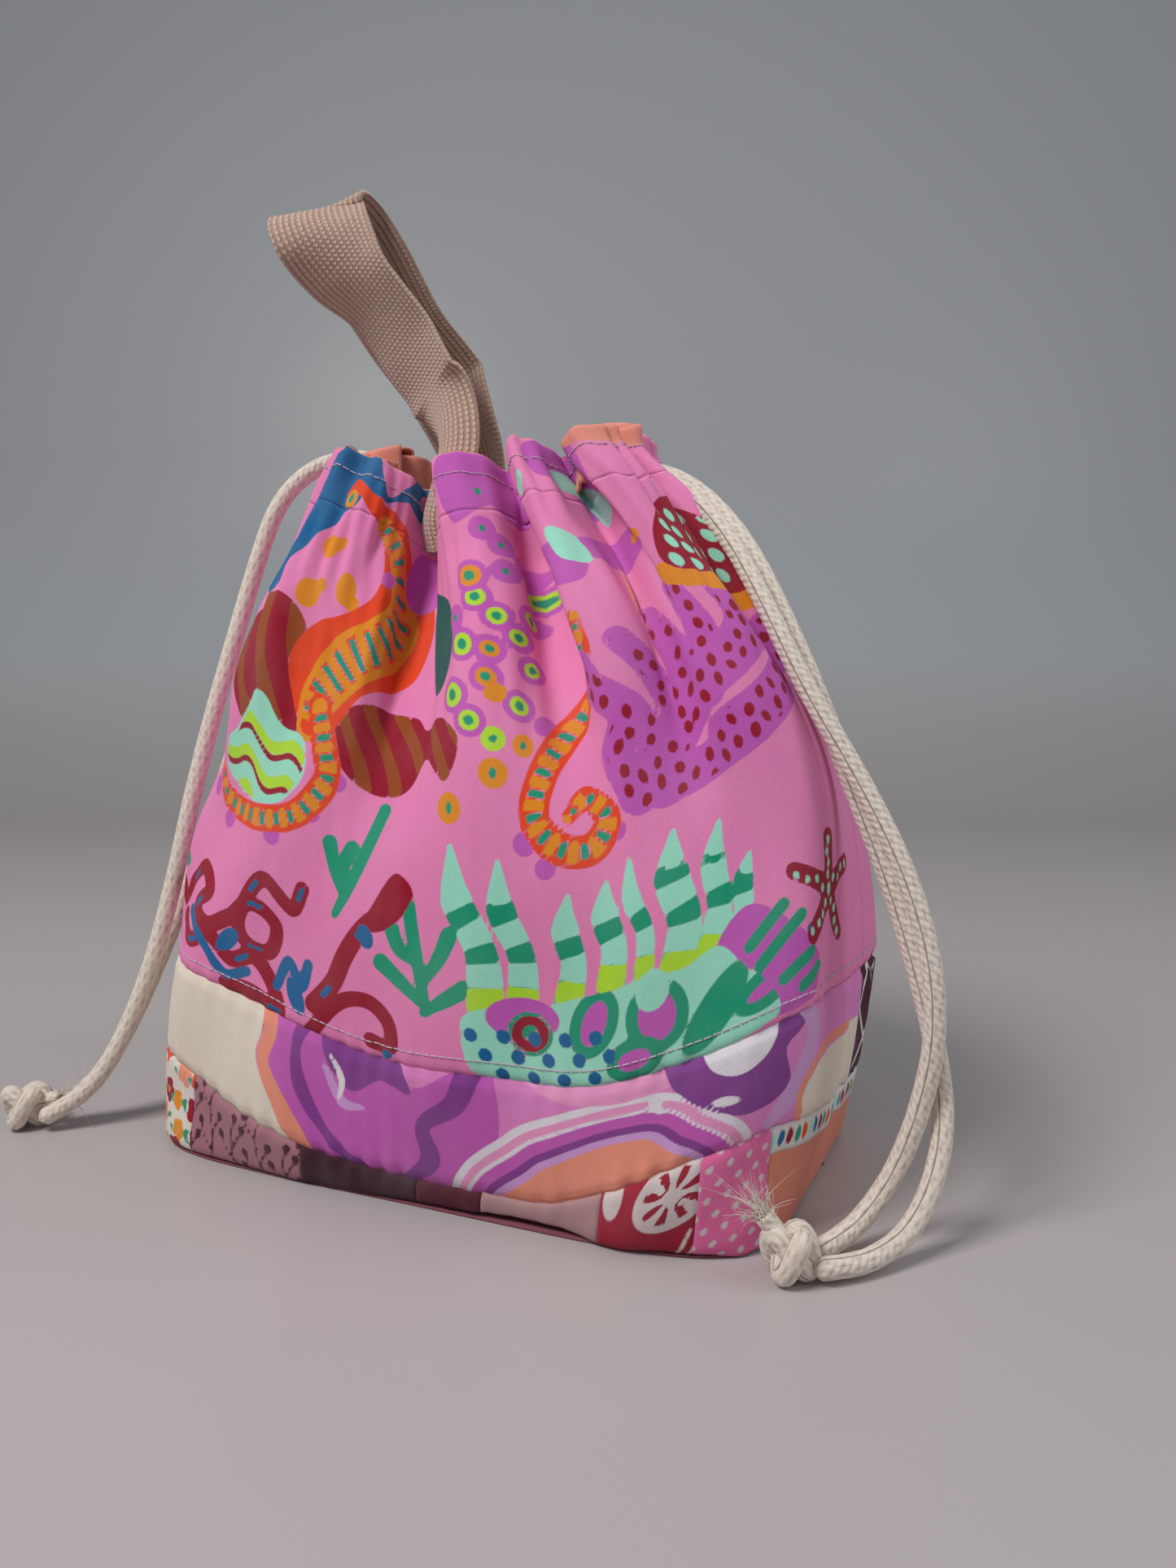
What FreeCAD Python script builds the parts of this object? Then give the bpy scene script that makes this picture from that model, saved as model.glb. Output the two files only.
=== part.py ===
import FreeCAD, Part
import math
import os

# Drawstring knitting bag, standing on its base. Millimetres, +Z up, origin at the centre of the base
# on the surface that it stands on. -Y is the front, +X the right. The bag is drawn closed: its cloth
# bulges over the base and gathers into a short neck, which two cotton cords run through.

Vec = FreeCAD.Vector

# Driving sizes ------------------------------------------------------------------------------------
base_half_width = 108.0
base_half_depth = 61.0       # behind the middle; the front bows out by another 10
shoulder_height = 219.0

outer_wall = 1.6             # printed cotton with its wadding
lining_wall = 0.8
lining_gap = 0.15            # round the floor of the lining
base_thickness = 1.6
side_seam_y = 8.0            # where the front and the back are sewn together

patch_height = 33.0          # at the sides of the bag
band_height = 33.0
front_sag = 22.0             # how far the seams dip at the middle of the front
back_sag = 9.0

neck_x = -6.0                # the gathered neck stands a little left of the middle
neck_y = 4.0
neck_half_length = 40.0
neck_half_spread = 17.0      # from the neck's middle to the middle of a drawn-open channel
channel_drop = 5.0           # from the shoulder down to the channels' lower edge
channel_wall = 0.8
channel_hem = 5.5            # closed cloth under the lower cord
channel_roof = 1.4           # cloth over the upper cord
channel_gap = 0.2            # from the bag's middle plane to each channel at its ends

cord_diameter = 6.0
cord_clearance = 0.6         # round a cord inside its channel
cord_spacing = 7.6           # between the two cords, one above the other
channel_straight = 18.0      # level stretch at each end of a channel
free_start = 14.3            # how far inside the channel a free cord starts
cord_gap = 0.3               # between a free cord and its stretch in the channels
turn_inset = 10.0            # a cord turns back this far inside the far end of the channels
window_inset = 22.0          # the opening for that turn starts this far inside the same end
turn_clearance = 0.4         # past the outside of that turn

webbing_width = 32.0
webbing_thickness = 1.6
webbing_gap = 0.5            # between the sewn ends and the swinging loop
handle_x = -17.0
handle_reach = 73.0          # from the pivot to the middle of the top bend
handle_top_y = -41.0
handle_bend_radius = 8.0
handle_lean = 22.0           # degrees to the left
sewn_end_width = 20.0
sewn_end_corner = 4.0
seat_gap = 0.2               # between the sewn ends and the cloth beside and below them
foot_length = 12.0           # of the swinging loop, below its pivot
foot_half_width = 5.0        # where that foot narrows to clear the cloth
taper_height = 3.0           # above the pivot, where the loop has its full width again
straight_rise = 17.0         # from the pivot to where the loop's two legs start to lean together
pivot_height = 14.0          # above the shoulder

corner_left = -82.0          # upright seams at the two ends of the front's patchwork
corner_right = 106.0
strip_height = 8.0           # of the printed strip over the right end patch

# Sizes that follow --------------------------------------------------------------------------------
channel_half = cord_diameter / 2 + cord_clearance
channel_outer = channel_half + channel_wall
channel_end_y = channel_outer + channel_gap      # from the bag's middle plane to a channel's line
channel_bottom = shoulder_height - channel_drop
low_cord_z = channel_bottom + channel_wall + channel_hem + channel_half
high_cord_z = low_cord_z + cord_spacing
channel_top = high_cord_z + channel_half + channel_roof
neck_half_depth = neck_half_spread + channel_outer
pivot_z = shoulder_height + pivot_height
beyond = 300.0                                   # a length that reaches past every face
seam_low = patch_height
seam_high = patch_height + band_height

# Half widths of the cloth from the base up to the shoulder: height, half width, depth in front of
# the middle, depth behind it, squareness of the outline and where its middle is.
body_rows = [
    (0.0, 108.0, 71.0, 61.0, 6.5, 0.0, 0.0),
    (22.0, 112.0, 73.0, 66.0, 5.0, 1.5, 0.0),
    (45.0, 114.5, 74.0, 72.0, 4.2, 3.0, 0.0),
    (66.0, 115.0, 74.0, 76.0, 3.6, 4.0, 0.0),
    (95.0, 113.0, 73.0, 78.0, 3.0, 4.5, 0.0),
    (125.0, 108.0, 69.0, 76.0, 2.6, 4.5, 1.0),
    (155.0, 100.0, 62.0, 70.0, 2.3, 3.0, 2.0),
    (180.0, 88.0, 53.0, 60.0, 2.1, 0.0, 3.0),
    (200.0, 74.0, 43.0, 48.0, 2.0, -3.0, 4.0),
    (210.0, 64.0, 36.5, 39.5, 2.0, -4.5, 4.0),
    (216.0, 54.5, 31.0, 32.5, 2.0, -6.0, 4.0),
    (219.0, 48.0, 27.5, 27.5, 2.0, -6.0, 4.0),
]
rows_neck_half_length = 40.0     # of the neck that the rows above were drawn for
rows_neck_half_depth = 21.4
outline_points = 40


def scaled_rows():
    """The rows of the cloth for the base and height that are set above."""
    drawn_width = body_rows[0][1]
    drawn_depth = body_rows[0][3]
    drawn_height = body_rows[-1][0]
    top = body_rows[-1]
    rows = []
    for height, width, front, back, square, mid_x, mid_y in body_rows:
        rise = height / drawn_height
        grow_x = (base_half_width - drawn_width) * (1 - rise)
        grow_y = (base_half_depth - drawn_depth) * (1 - rise)
        spread = (neck_half_depth - rows_neck_half_depth) * rise
        stretch = (neck_half_length - rows_neck_half_length) * rise
        rows.append((
            rise * shoulder_height,
            width + grow_x + stretch,
            front + grow_y + spread,
            back + grow_y + spread,
            square,
            mid_x + (neck_x - top[5]) * rise,
            mid_y + (neck_y - top[6]) * rise,
        ))
    return rows


def outline(row, inset):
    """One closed level curve of the cloth, set in from its outer face."""
    height, width, front, back, square, mid_x, mid_y = row
    points = []
    for step in range(outline_points):
        angle = 2 * math.pi * step / outline_points
        across = abs(math.cos(angle)) / (width - inset)
        depth = front if math.sin(angle) < 0 else back
        along = abs(math.sin(angle)) / (depth - inset)
        reach = (across ** square + along ** square) ** (-1 / square)
        points.append(Vec(mid_x + reach * math.cos(angle), mid_y + reach * math.sin(angle), height))
    curve = Part.BSplineCurve()
    curve.interpolate(Points=points, PeriodicFlag=True, Parameters=list(range(outline_points + 1)))
    return Part.Wire(curve.toShape())


def cloth_solid(inset):
    """The whole bag as one closed lofted solid, set in from its outer face."""
    return Part.makeLoft([outline(row, inset) for row in scaled_rows()], True, False)


def slab(low, high):
    return Part.makeBox(2 * beyond, 2 * beyond, high - low, Vec(-beyond, -beyond, low))


def prism(corners_xy, low, high):
    """An upright prism on a closed outline of (x, y) corners."""
    points = [Vec(x, y, low) for x, y in corners_xy]
    face = Part.Face(Part.makePolygon(points + points[:1]))
    return face.extrude(Vec(0, 0, high - low))


def tier(seam_under, sag_under, seam_over, sag_over, front):
    """The space between two sagging seams, in front of the side seams or behind them."""
    half = base_half_width + 8.0
    reach = beyond

    def edge(level, sag, left, right):
        middle = Vec(0, 0, level - sag)
        return Part.Arc(Vec(left, 0, level), middle, Vec(right, 0, level)).toShape()

    bottom = edge(seam_under, sag_under, -half, half) if sag_under else None
    top = edge(seam_over, sag_over, half, -half) if sag_over else None
    edges = []
    if bottom:
        edges.append(Part.makeLine(Vec(-reach, 0, seam_under), Vec(-half, 0, seam_under)))
        edges.append(bottom)
        edges.append(Part.makeLine(Vec(half, 0, seam_under), Vec(reach, 0, seam_under)))
    else:
        edges.append(Part.makeLine(Vec(-reach, 0, seam_under), Vec(reach, 0, seam_under)))
    edges.append(Part.makeLine(Vec(reach, 0, seam_under), Vec(reach, 0, seam_over)))
    if top:
        edges.append(Part.makeLine(Vec(reach, 0, seam_over), Vec(half, 0, seam_over)))
        edges.append(top)
        edges.append(Part.makeLine(Vec(-half, 0, seam_over), Vec(-reach, 0, seam_over)))
    else:
        edges.append(Part.makeLine(Vec(reach, 0, seam_over), Vec(-reach, 0, seam_over)))
    edges.append(Part.makeLine(Vec(-reach, 0, seam_over), Vec(-reach, 0, seam_under)))
    face = Part.Face(Part.Wire(edges))
    face.translate(Vec(0, side_seam_y, 0))
    return face.extrude(Vec(0, -beyond if front else beyond, 0))


def neck_line(side, steps=10):
    """Middle line of the front (side -1) or back (side +1) channel, from left to right."""
    near = channel_end_y
    swing = neck_half_spread - near
    points = [(neck_x - neck_half_length, neck_y + side * near)]
    curved = neck_half_length - channel_straight
    for step in range(steps + 1):
        share = -1 + 2 * step / steps
        bow = 0.5 + 0.5 * math.cos(math.pi * share)
        points.append((neck_x + share * curved, neck_y + side * (near + swing * bow)))
    points.append((neck_x + neck_half_length, neck_y + side * near))
    return points


def band_outline(points, half):
    """A strip of even width along a line of (x, y) points, as a closed outline."""
    left = []
    right = []
    for index, (x, y) in enumerate(points):
        before = points[max(index - 1, 0)]
        after = points[min(index + 1, len(points) - 1)]
        length = math.hypot(after[0] - before[0], after[1] - before[1])
        across = ((before[1] - after[1]) / length, (after[0] - before[0]) / length)
        left.append((x + across[0] * half, y + across[1] * half))
        right.append((x - across[0] * half, y - across[1] * half))
    return left + right[::-1]


def route_wire(points, report=None):
    """Straight runs joined by tangent arcs, each arc as large as its two runs allow."""
    points = [Vec(*point) for point in points]
    edges = []
    start = points[0]
    radii = []
    for before, corner, after in zip(points, points[1:], points[2:]):
        into = corner - before
        out = after - corner
        cut = 0.45 * min(into.Length, out.Length)
        half_turn = into.getAngle(out) / 2
        radii.append(cut / math.tan(half_turn))
        into.normalize()
        out.normalize()
        first = corner - into * cut
        last = corner + out * cut
        bisector = (out - into).normalize()
        centre_gap = radii[-1] / math.cos(half_turn)
        middle = corner + bisector * (centre_gap - radii[-1])
        edges.append(Part.LineSegment(start, first).toShape())
        edges.append(Part.Arc(first, middle, last).toShape())
        start = last
    edges.append(Part.LineSegment(start, points[-1]).toShape())
    wire = Part.Wire(edges)
    if report:
        print(report, "length %.0f mm" % wire.Length, "radii", [round(radius) for radius in radii])
    return wire


def cord_tube(points, report=None):
    wire = route_wire(points, report)
    start = wire.Edges[0]
    heading = start.tangentAt(start.FirstParameter)
    ring = Part.Wire(Part.makeCircle(cord_diameter / 2, start.valueAt(start.FirstParameter), heading))
    tube = wire.makePipeShell([ring], True, True)
    expected = math.pi * cord_diameter ** 2 / 4 * wire.Length
    if abs(tube.Volume / expected - 1) > 0.02:
        print(report, "tube volume is off", tube.Volume, expected)
    return tube


# Cloth body ---------------------------------------------------------------------------------------
outer_solid = cloth_solid(0)
lining_outer = cloth_solid(outer_wall)
lining_inner = cloth_solid(outer_wall + lining_wall)
roof_under = shoulder_height - outer_wall
lining_under = roof_under - lining_wall
lining_floor = base_thickness + lining_wall

channels = {}
channel_blocks = []
for name, side in (("front", -1), ("back", 1)):
    line = neck_line(side)
    block = prism(band_outline(line, channel_outer), channel_bottom, channel_top)
    channels[name] = (line, block)
    channel_blocks.append(block)

# The neck block is the channels and the mouth between them.
front_rim = band_outline(channels["front"][0], channel_outer)
back_rim = band_outline(channels["back"][0], channel_outer)
count = len(channels["front"][0])
rim = front_rim[count:] + back_rim[:count]
neck_block = prism(rim, channel_bottom, channel_top)

wall = outer_solid.cut(lining_outer.common(slab(base_thickness, roof_under)))
wall = wall.common(slab(base_thickness, shoulder_height)).cut(neck_block)
base_panel = outer_solid.common(slab(0, base_thickness))

lining = lining_outer.common(slab(base_thickness, roof_under))
lining = lining.cut(lining_inner.common(slab(lining_floor, lining_under))).cut(neck_block)

nodes = {"base_panel": base_panel}

patch_zones = {
    True: tier(base_thickness, 0, seam_low, front_sag, True),
    False: tier(base_thickness, 0, seam_low, back_sag, False),
}
nodes["front_band"] = wall.common(tier(seam_low, front_sag, seam_high, front_sag, True))
nodes["back_band"] = wall.common(tier(seam_low, back_sag, seam_high, back_sag, False))
nodes["front_panel"] = wall.common(tier(seam_high, front_sag, shoulder_height, 0, True))
nodes["back_panel"] = wall.common(tier(seam_high, back_sag, shoulder_height, 0, False))

lining_base = cloth_solid(outer_wall + lining_gap).common(slab(base_thickness, lining_floor))
lining_walls = lining.common(slab(lining_floor, shoulder_height))
nodes["lining_base"] = lining_base
behind = Part.makeBox(2 * beyond, beyond, beyond, Vec(-beyond, side_seam_y, 0))
nodes["front_lining"] = lining_walls.cut(behind)
nodes["back_lining"] = lining_walls.common(behind)

# Patchwork strip round the foot: cut at upright seams, from the left corner to the right.
patch_span = corner_right - corner_left
front_patches = [
    ("patch_berry", 0.25),
    ("patch_aubergine", 0.213),
    ("patch_wine", 0.106),
    ("patch_beige", 0.197),
    ("patch_crimson", 0.149),
    ("patch_dotted", 0.085),
]
back_patches = [
    ("back_patch_lilac", 0.24),
    ("back_patch_berry", 0.22),
    ("back_patch_cream", 0.26),
    ("back_patch_crimson", 0.28),
]


def between(low_x, high_x, low_z=0.0, high_z=seam_high):
    return Part.makeBox(high_x - low_x, 2 * beyond, high_z - low_z, Vec(low_x, -beyond, low_z))


for front, patches in ((True, front_patches), (False, back_patches)):
    seam_x = corner_left
    for name, share in patches:
        next_x = seam_x + share * patch_span
        nodes[name] = wall.common(patch_zones[front].common(between(seam_x, next_x)))
        seam_x = next_x
patch_ring = wall.common(patch_zones[True].fuse(patch_zones[False]))
nodes["patch_floral"] = patch_ring.common(between(-beyond, corner_left))
right_side = patch_ring.common(between(corner_right, beyond))
nodes["patch_peach"] = right_side.common(between(corner_right, beyond, 0, patch_height - strip_height))
nodes["oval_strip"] = right_side.common(between(corner_right, beyond, patch_height - strip_height))

# Drawstring channels ------------------------------------------------------------------------------
loop_reach = neck_half_length - turn_inset
window_low = neck_half_length - window_inset
for name, side in (("front", -1), ("back", 1)):
    line, block = channels[name]
    bore = prism(band_outline(line, channel_half), low_cord_z - channel_half, high_cord_z + channel_half)
    shape = block.cut(bore)
    for end, level in ((-1, low_cord_z), (1, high_cord_z)):
        near_x = neck_x + end * window_low
        far_x = neck_x + end * (loop_reach + channel_half + turn_clearance)
        half_depth = channel_end_y + channel_half
        window = Part.makeBox(
            abs(far_x - near_x),
            2 * half_depth,
            2 * channel_half,
            Vec(min(near_x, far_x), neck_y - half_depth, level - channel_half),
        )
        shape = shape.cut(window)
    nodes[name + "_channel"] = shape

# Cords --------------------------------------------------------------------------------------------
# Each drawcord runs through both channels, turns back inside their far end and comes out at its own
# side. Its two ends are tied in one knot. The points of the free ends are chosen by hand.

left_cord_front = [
    (-31.7, -0.6, 231.5), (-50, -0.8, 232), (-63, -5.5, 233.5), (-74.5, -11.5, 228.5),
    (-83.5, -17.5, 216.5), (-89.5, -21.5, 196), (-96, -26.5, 169), (-102, -32, 142),
    (-107.5, -37, 114), (-111.5, -42, 86), (-116, -47.5, 60), (-121.5, -53.5, 38),
    (-127.5, -59.5, 21.5), (-135, -66, 10), (-144.5, -74.3, 4.4),
]
left_cord_rear = [
    (-31.7, 8.6, 231.5), (-50, 8.8, 231.8), (-63.5, 6, 229.5), (-74, 2.5, 221),
    (-83, -1.5, 207), (-90.5, -5.5, 187), (-98.5, -10.5, 161), (-105, -15.5, 134),
    (-111, -21.5, 108), (-116.5, -28.5, 84), (-121.5, -37, 60.5), (-126, -45.5, 40),
    (-130.5, -53.5, 24), (-137, -59.5, 11.5), (-146, -67.3, 5),
]
right_cord_front = [
    (19.7, -0.6, 223.9), (40, -0.8, 224.2), (53, -0.5, 220.5), (66, -2.5, 211.5),
    (80, -9, 197), (93, -17, 177), (107, -23.5, 152), (123, -25, 127),
    (136, -27, 103), (144, -29, 80), (146, -30.5, 58), (142.5, -31.5, 38),
    (137, -33.5, 21), (131, -38.5, 10.5), (125.5, -47, 5), (119.5, -59, 4.2),
]
right_cord_rear = [
    (19.7, 8.6, 223.9), (40, 8.8, 224.1), (55, 9, 221), (69, 6, 211.5),
    (83.5, -1, 195.5), (96, -9, 175), (108.5, -15.5, 151), (119, -16.5, 125),
    (130, -17, 99), (139, -19, 73), (145.5, -22.5, 50), (148.5, -28, 32),
    (146.5, -35.5, 17.5), (141.5, -44, 7.5), (135, -53.5, 4), (128.5, -61.5, 3.9),
    (121.5, -67, 4.5),
]
free_cords = {
    "left_cord_front": left_cord_front,
    "left_cord_rear": left_cord_rear,
    "right_cord_front": right_cord_front,
    "right_cord_rear": right_cord_rear,
}
for name, points in free_cords.items():
    nodes[name] = cord_tube(points, name)


def hidden_cord(end, level):
    """The stretch of a cord inside the channels: in at one side, round the far end and back."""
    near = channel_end_y
    start_x = neck_x + end * (neck_half_length - free_start - cord_gap)
    front = neck_line(-1)[1:-1]
    back = neck_line(1)[1:-1]
    if end > 0:
        front = front[::-1]
        back = back[::-1]
    turn_x = neck_x - end * loop_reach
    loop_start = neck_x - end * (loop_reach - near)
    outward = [(start_x, neck_y - near)] + front + [(loop_start, neck_y - near)]
    homeward = [(loop_start, neck_y + near)] + back[::-1] + [(start_x, neck_y + near)]
    first = route_wire([(x, y, level) for x, y in outward])
    last = route_wire([(x, y, level) for x, y in homeward])
    loop = Part.Arc(
        Vec(loop_start, neck_y - near, level),
        Vec(turn_x, neck_y, level),
        Vec(loop_start, neck_y + near, level),
    ).toShape()
    wire = Part.Wire(first.Edges + [loop] + last.Edges)
    ring = Part.Wire(Part.makeCircle(cord_diameter / 2, Vec(start_x, neck_y - near, level), Vec(1, 0, 0)))
    return wire.makePipeShell([ring], True, True)


nodes["left_cord_in_channel"] = hidden_cord(-1, high_cord_z)
nodes["right_cord_in_channel"] = hidden_cord(1, low_cord_z)


def knot(centre, half_sizes, turn):
    """An overhand knot: a squat body with a turn of cord round it and two short cut ends."""
    body = Part.makeSphere(1.0)
    stretch = FreeCAD.Matrix()
    stretch.scale(*half_sizes)
    body = body.transformGeometry(stretch)
    band = Part.makeTorus(half_sizes[0] - cord_diameter / 2 + 0.4, cord_diameter / 2)
    band.rotate(Vec(0, 0, 0), Vec(0, 1, 0), 18)
    body = body.fuse(band)
    for lean in (-14, 16):
        stub = Part.makeCylinder(cord_diameter / 2, half_sizes[2] + 5.0)
        stub.rotate(Vec(0, 0, 0), Vec(0, 1, 0), -52 + lean)
        stub.rotate(Vec(0, 0, 0), Vec(0, 0, 1), lean)
        body = body.fuse(stub)
    body.rotate(Vec(0, 0, 0), Vec(0, 0, 1), turn)
    body.translate(Vec(*centre))
    return body


nodes["left_knot"] = knot((-153, -72, 7.5), (9.5, 8.5, 7.4), 35)
nodes["right_knot"] = knot((115.5, -66.5, 7.5), (8.6, 7.8, 7.4), 20)

# Handle -------------------------------------------------------------------------------------------
# One strip of webbing folded into a loop. Its ends are sewn on outside the channels, front and back,
# and the loop above them swings from side to side about a line through both ends.
front_face = neck_y - neck_half_depth
back_face = neck_y + neck_half_depth
end_low = shoulder_height + seat_gap
end_high = pivot_z


def sewn_end(face_y, side):
    low_y = face_y + seat_gap if side > 0 else face_y - seat_gap - webbing_thickness
    low_corner = Vec(handle_x - sewn_end_width / 2, low_y, end_low)
    plate = Part.makeBox(sewn_end_width, webbing_thickness, end_high - end_low, low_corner)
    top_corners = []
    for edge in plate.Edges:
        if edge.BoundBox.YLength > webbing_thickness / 2 and edge.BoundBox.ZMin > end_high - seat_gap:
            top_corners.append(edge)
    return plate.makeFillet(sewn_end_corner, top_corners)


nodes["handle_front_end"] = sewn_end(front_face, -1)
nodes["handle_rear_end"] = sewn_end(back_face, 1)

strip_offset = seat_gap + webbing_thickness + webbing_gap + webbing_thickness / 2
front_strip_y = front_face - strip_offset
rear_strip_y = back_face + strip_offset
bend_base = handle_reach - handle_bend_radius
loop_points = [
    (0, front_strip_y, -foot_length),
    (0, front_strip_y, straight_rise),
    (0, front_strip_y * 0.6 + (handle_top_y - handle_bend_radius) * 0.4, bend_base * 0.62),
    (0, handle_top_y - handle_bend_radius, bend_base),
    (0, handle_top_y - handle_bend_radius * 0.55, handle_reach),
    (0, handle_top_y + handle_bend_radius * 0.7, handle_reach - 1),
    (0, handle_top_y + handle_bend_radius, bend_base),
    (0, rear_strip_y * 0.48 + (handle_top_y + handle_bend_radius) * 0.52, bend_base * 0.62),
    (0, rear_strip_y, straight_rise),
    (0, rear_strip_y, -foot_length),
]
loop_line = route_wire(loop_points)
loop_face = Part.Face(loop_line.makeOffset2D(webbing_thickness / 2, 2, False, False, False))
loop_face.translate(Vec(-webbing_width / 2, 0, 0))
loop = loop_face.extrude(Vec(webbing_width, 0, 0))
half = webbing_width / 2
trim = [
    (-foot_half_width, -foot_length), (foot_half_width, -foot_length), (half, taper_height),
    (half, beyond), (-half, beyond), (-half, taper_height),
]
trim_face = Part.Face(Part.makePolygon([Vec(x, -beyond, z) for x, z in trim + trim[:1]]))
loop = loop.common(trim_face.extrude(Vec(0, 2 * beyond, 0)))
loop.translate(Vec(handle_x, 0, pivot_z))
loop.rotate(Vec(handle_x, 0, pivot_z), Vec(0, 1, 0), -handle_lean)
nodes["handle_webbing"] = loop

os.makedirs("parts", exist_ok=True)
for name, shape in nodes.items():
    if not shape.isValid() or shape.Volume <= 0 or not shape.Solids:
        print("bad shape", name, shape.isValid(), shape.Volume, len(shape.Solids))
    elif len(shape.Solids) > 1:
        print(name, "has", len(shape.Solids), "solids")
    shape.exportStep("parts/%s.step" % name)
print(len(nodes), "nodes")
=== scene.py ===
import bpy
import math
import numpy as np
from mathutils import Matrix, Vector


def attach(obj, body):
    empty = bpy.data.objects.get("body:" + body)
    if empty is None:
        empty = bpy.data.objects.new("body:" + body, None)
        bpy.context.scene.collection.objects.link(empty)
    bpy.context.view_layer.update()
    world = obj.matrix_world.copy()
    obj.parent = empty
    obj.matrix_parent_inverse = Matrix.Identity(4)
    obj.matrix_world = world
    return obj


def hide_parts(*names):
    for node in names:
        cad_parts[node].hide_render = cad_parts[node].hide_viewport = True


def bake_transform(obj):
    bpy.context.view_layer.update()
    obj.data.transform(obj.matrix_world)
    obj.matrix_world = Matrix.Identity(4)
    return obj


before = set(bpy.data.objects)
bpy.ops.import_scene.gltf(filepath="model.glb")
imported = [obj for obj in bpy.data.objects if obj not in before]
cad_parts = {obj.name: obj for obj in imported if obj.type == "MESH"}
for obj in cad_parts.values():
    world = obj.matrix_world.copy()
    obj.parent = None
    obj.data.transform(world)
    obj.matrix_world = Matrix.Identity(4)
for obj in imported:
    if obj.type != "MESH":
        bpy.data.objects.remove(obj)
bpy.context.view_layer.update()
scene = bpy.context.scene
MM = 0.001

# Where the bag stands -----------------------------------------------------------------------------
# A pale table top that sweeps up into a plain wall, two soft lamps, and a camera at hand height to
# the right of the front.


def dye(red, green, blue):
    """A colour as a paint chart gives it, 0 to 255 a channel, in the linear values that nodes use."""
    values = []
    for channel in (red, green, blue):
        value = channel / 255
        values.append(value / 12.92 if value < 0.04045 else ((value + 0.055) / 1.055) ** 2.4)
    return (*values, 1.0)


class Thread:
    """One output socket in a material, for sums on what varies over the cloth."""

    def __init__(self, loom, socket):
        self.loom, self.socket = loom, socket

    def math(self, operation, *others):
        return self.loom.node("ShaderNodeMath", {"operation": operation}, self, *others)

    def __add__(self, other):
        return self.math("ADD", other)

    __radd__ = __add__

    def __mul__(self, other):
        return self.math("MULTIPLY", other)

    __rmul__ = __mul__

    def __sub__(self, other):
        return self.math("SUBTRACT", other)

    def __rsub__(self, other):
        return self.loom.node("ShaderNodeMath", {"operation": "SUBTRACT"}, other, self)

    def sine(self):
        return self.math("SINE")

    def clamp(self):
        return self.loom.node("ShaderNodeClamp", {}, self)


class Loom:
    """The node tree of one material, with a matt shader ready for its colour and relief."""

    def __init__(self, name, roughness=0.85, sheen=0.05):
        self.material = bpy.data.materials.new(name)
        self.material.use_nodes = True
        self.tree = self.material.node_tree
        self.shader = self.tree.nodes["Principled BSDF"]
        self.shader.inputs["Roughness"].default_value = roughness
        self.shader.inputs["Sheen Weight"].default_value = sheen
        self.shader.inputs["Specular IOR Level"].default_value = 0.22

    def node(self, kind, settings, *values, output=0):
        made = self.tree.nodes.new(kind)
        for setting, value in settings.items():
            setattr(made, setting, value)
        sockets = [socket for socket in made.inputs if socket.enabled]
        for socket, value in zip(sockets, values):
            self.feed(socket, value)
        outputs = [socket for socket in made.outputs if socket.enabled]
        return Thread(self, outputs[output])

    def feed(self, socket, value):
        if isinstance(value, Thread):
            self.tree.links.new(value.socket, socket)
        elif value is not None:
            socket.default_value = value

    def mix(self, factor, first, second):
        return self.node("ShaderNodeMix", {"data_type": "RGBA"}, factor, first, second)

    def attribute(self, name):
        return self.node("ShaderNodeAttribute", {"attribute_name": name}, output=2)

    def along_up(self):
        """The two measures of the piece's own map, in millimetres."""
        uv = self.node("ShaderNodeUVMap", {"uv_map": "cloth"})
        along = self.node("ShaderNodeSeparateXYZ", {}, uv)
        up = Thread(self, along.socket.node.outputs[1])
        return along * 1000.0, up * 1000.0

    def place(self):
        return self.node("ShaderNodeTexCoord", {}, output=3)

    def noise(self, vector, scale, detail=3.0, rough=0.5):
        return self.node("ShaderNodeTexNoise", {}, vector, scale, detail, rough)

    def colour(self, value):
        self.feed(self.shader.inputs["Base Color"], value)

    def relief(self, height, distance):
        bump = self.tree.nodes.new("ShaderNodeBump")
        bump.inputs["Distance"].default_value = distance
        self.feed(bump.inputs["Height"], height)
        self.tree.links.new(bump.outputs["Normal"], self.shader.inputs["Normal"])


def object_from(name, vertices, faces):
    mesh = bpy.data.meshes.new(name)
    mesh.from_pydata([tuple(map(float, v)) for v in vertices], [], faces)
    mesh.validate()
    mesh.shade_smooth()
    piece = bpy.data.objects.new(name, mesh)
    scene.collection.objects.link(piece)
    return piece


def grid_faces(rows, columns, first=0):
    """The squares between the points of a grid that is listed row by row."""
    corners = [first + j * columns + i for j in range(rows - 1) for i in range(columns - 1)]
    return [(k, k + 1, k + columns + 1, k + columns) for k in corners]


def give_map(piece, measures):
    """Lays the map of a piece from two measures, in metres, at each of its points."""
    uv = piece.data.uv_layers.new(name="cloth")
    corners = np.zeros(len(piece.data.loops), int)
    piece.data.loops.foreach_get("vertex_index", corners)
    uv.data.foreach_set("uv", np.asarray(measures)[corners].astype(np.float32).ravel())


def give_field(piece, name, values):
    field = piece.data.attributes.new(name, "FLOAT", "POINT")
    field.data.foreach_set("value", np.asarray(values).astype(np.float32).ravel())


def dress(piece, nodes=(), body="bag"):
    """Fixes a finished piece to its body and hides the parts that it stands for."""
    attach(piece, body)
    if nodes:
        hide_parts(*nodes)


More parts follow.
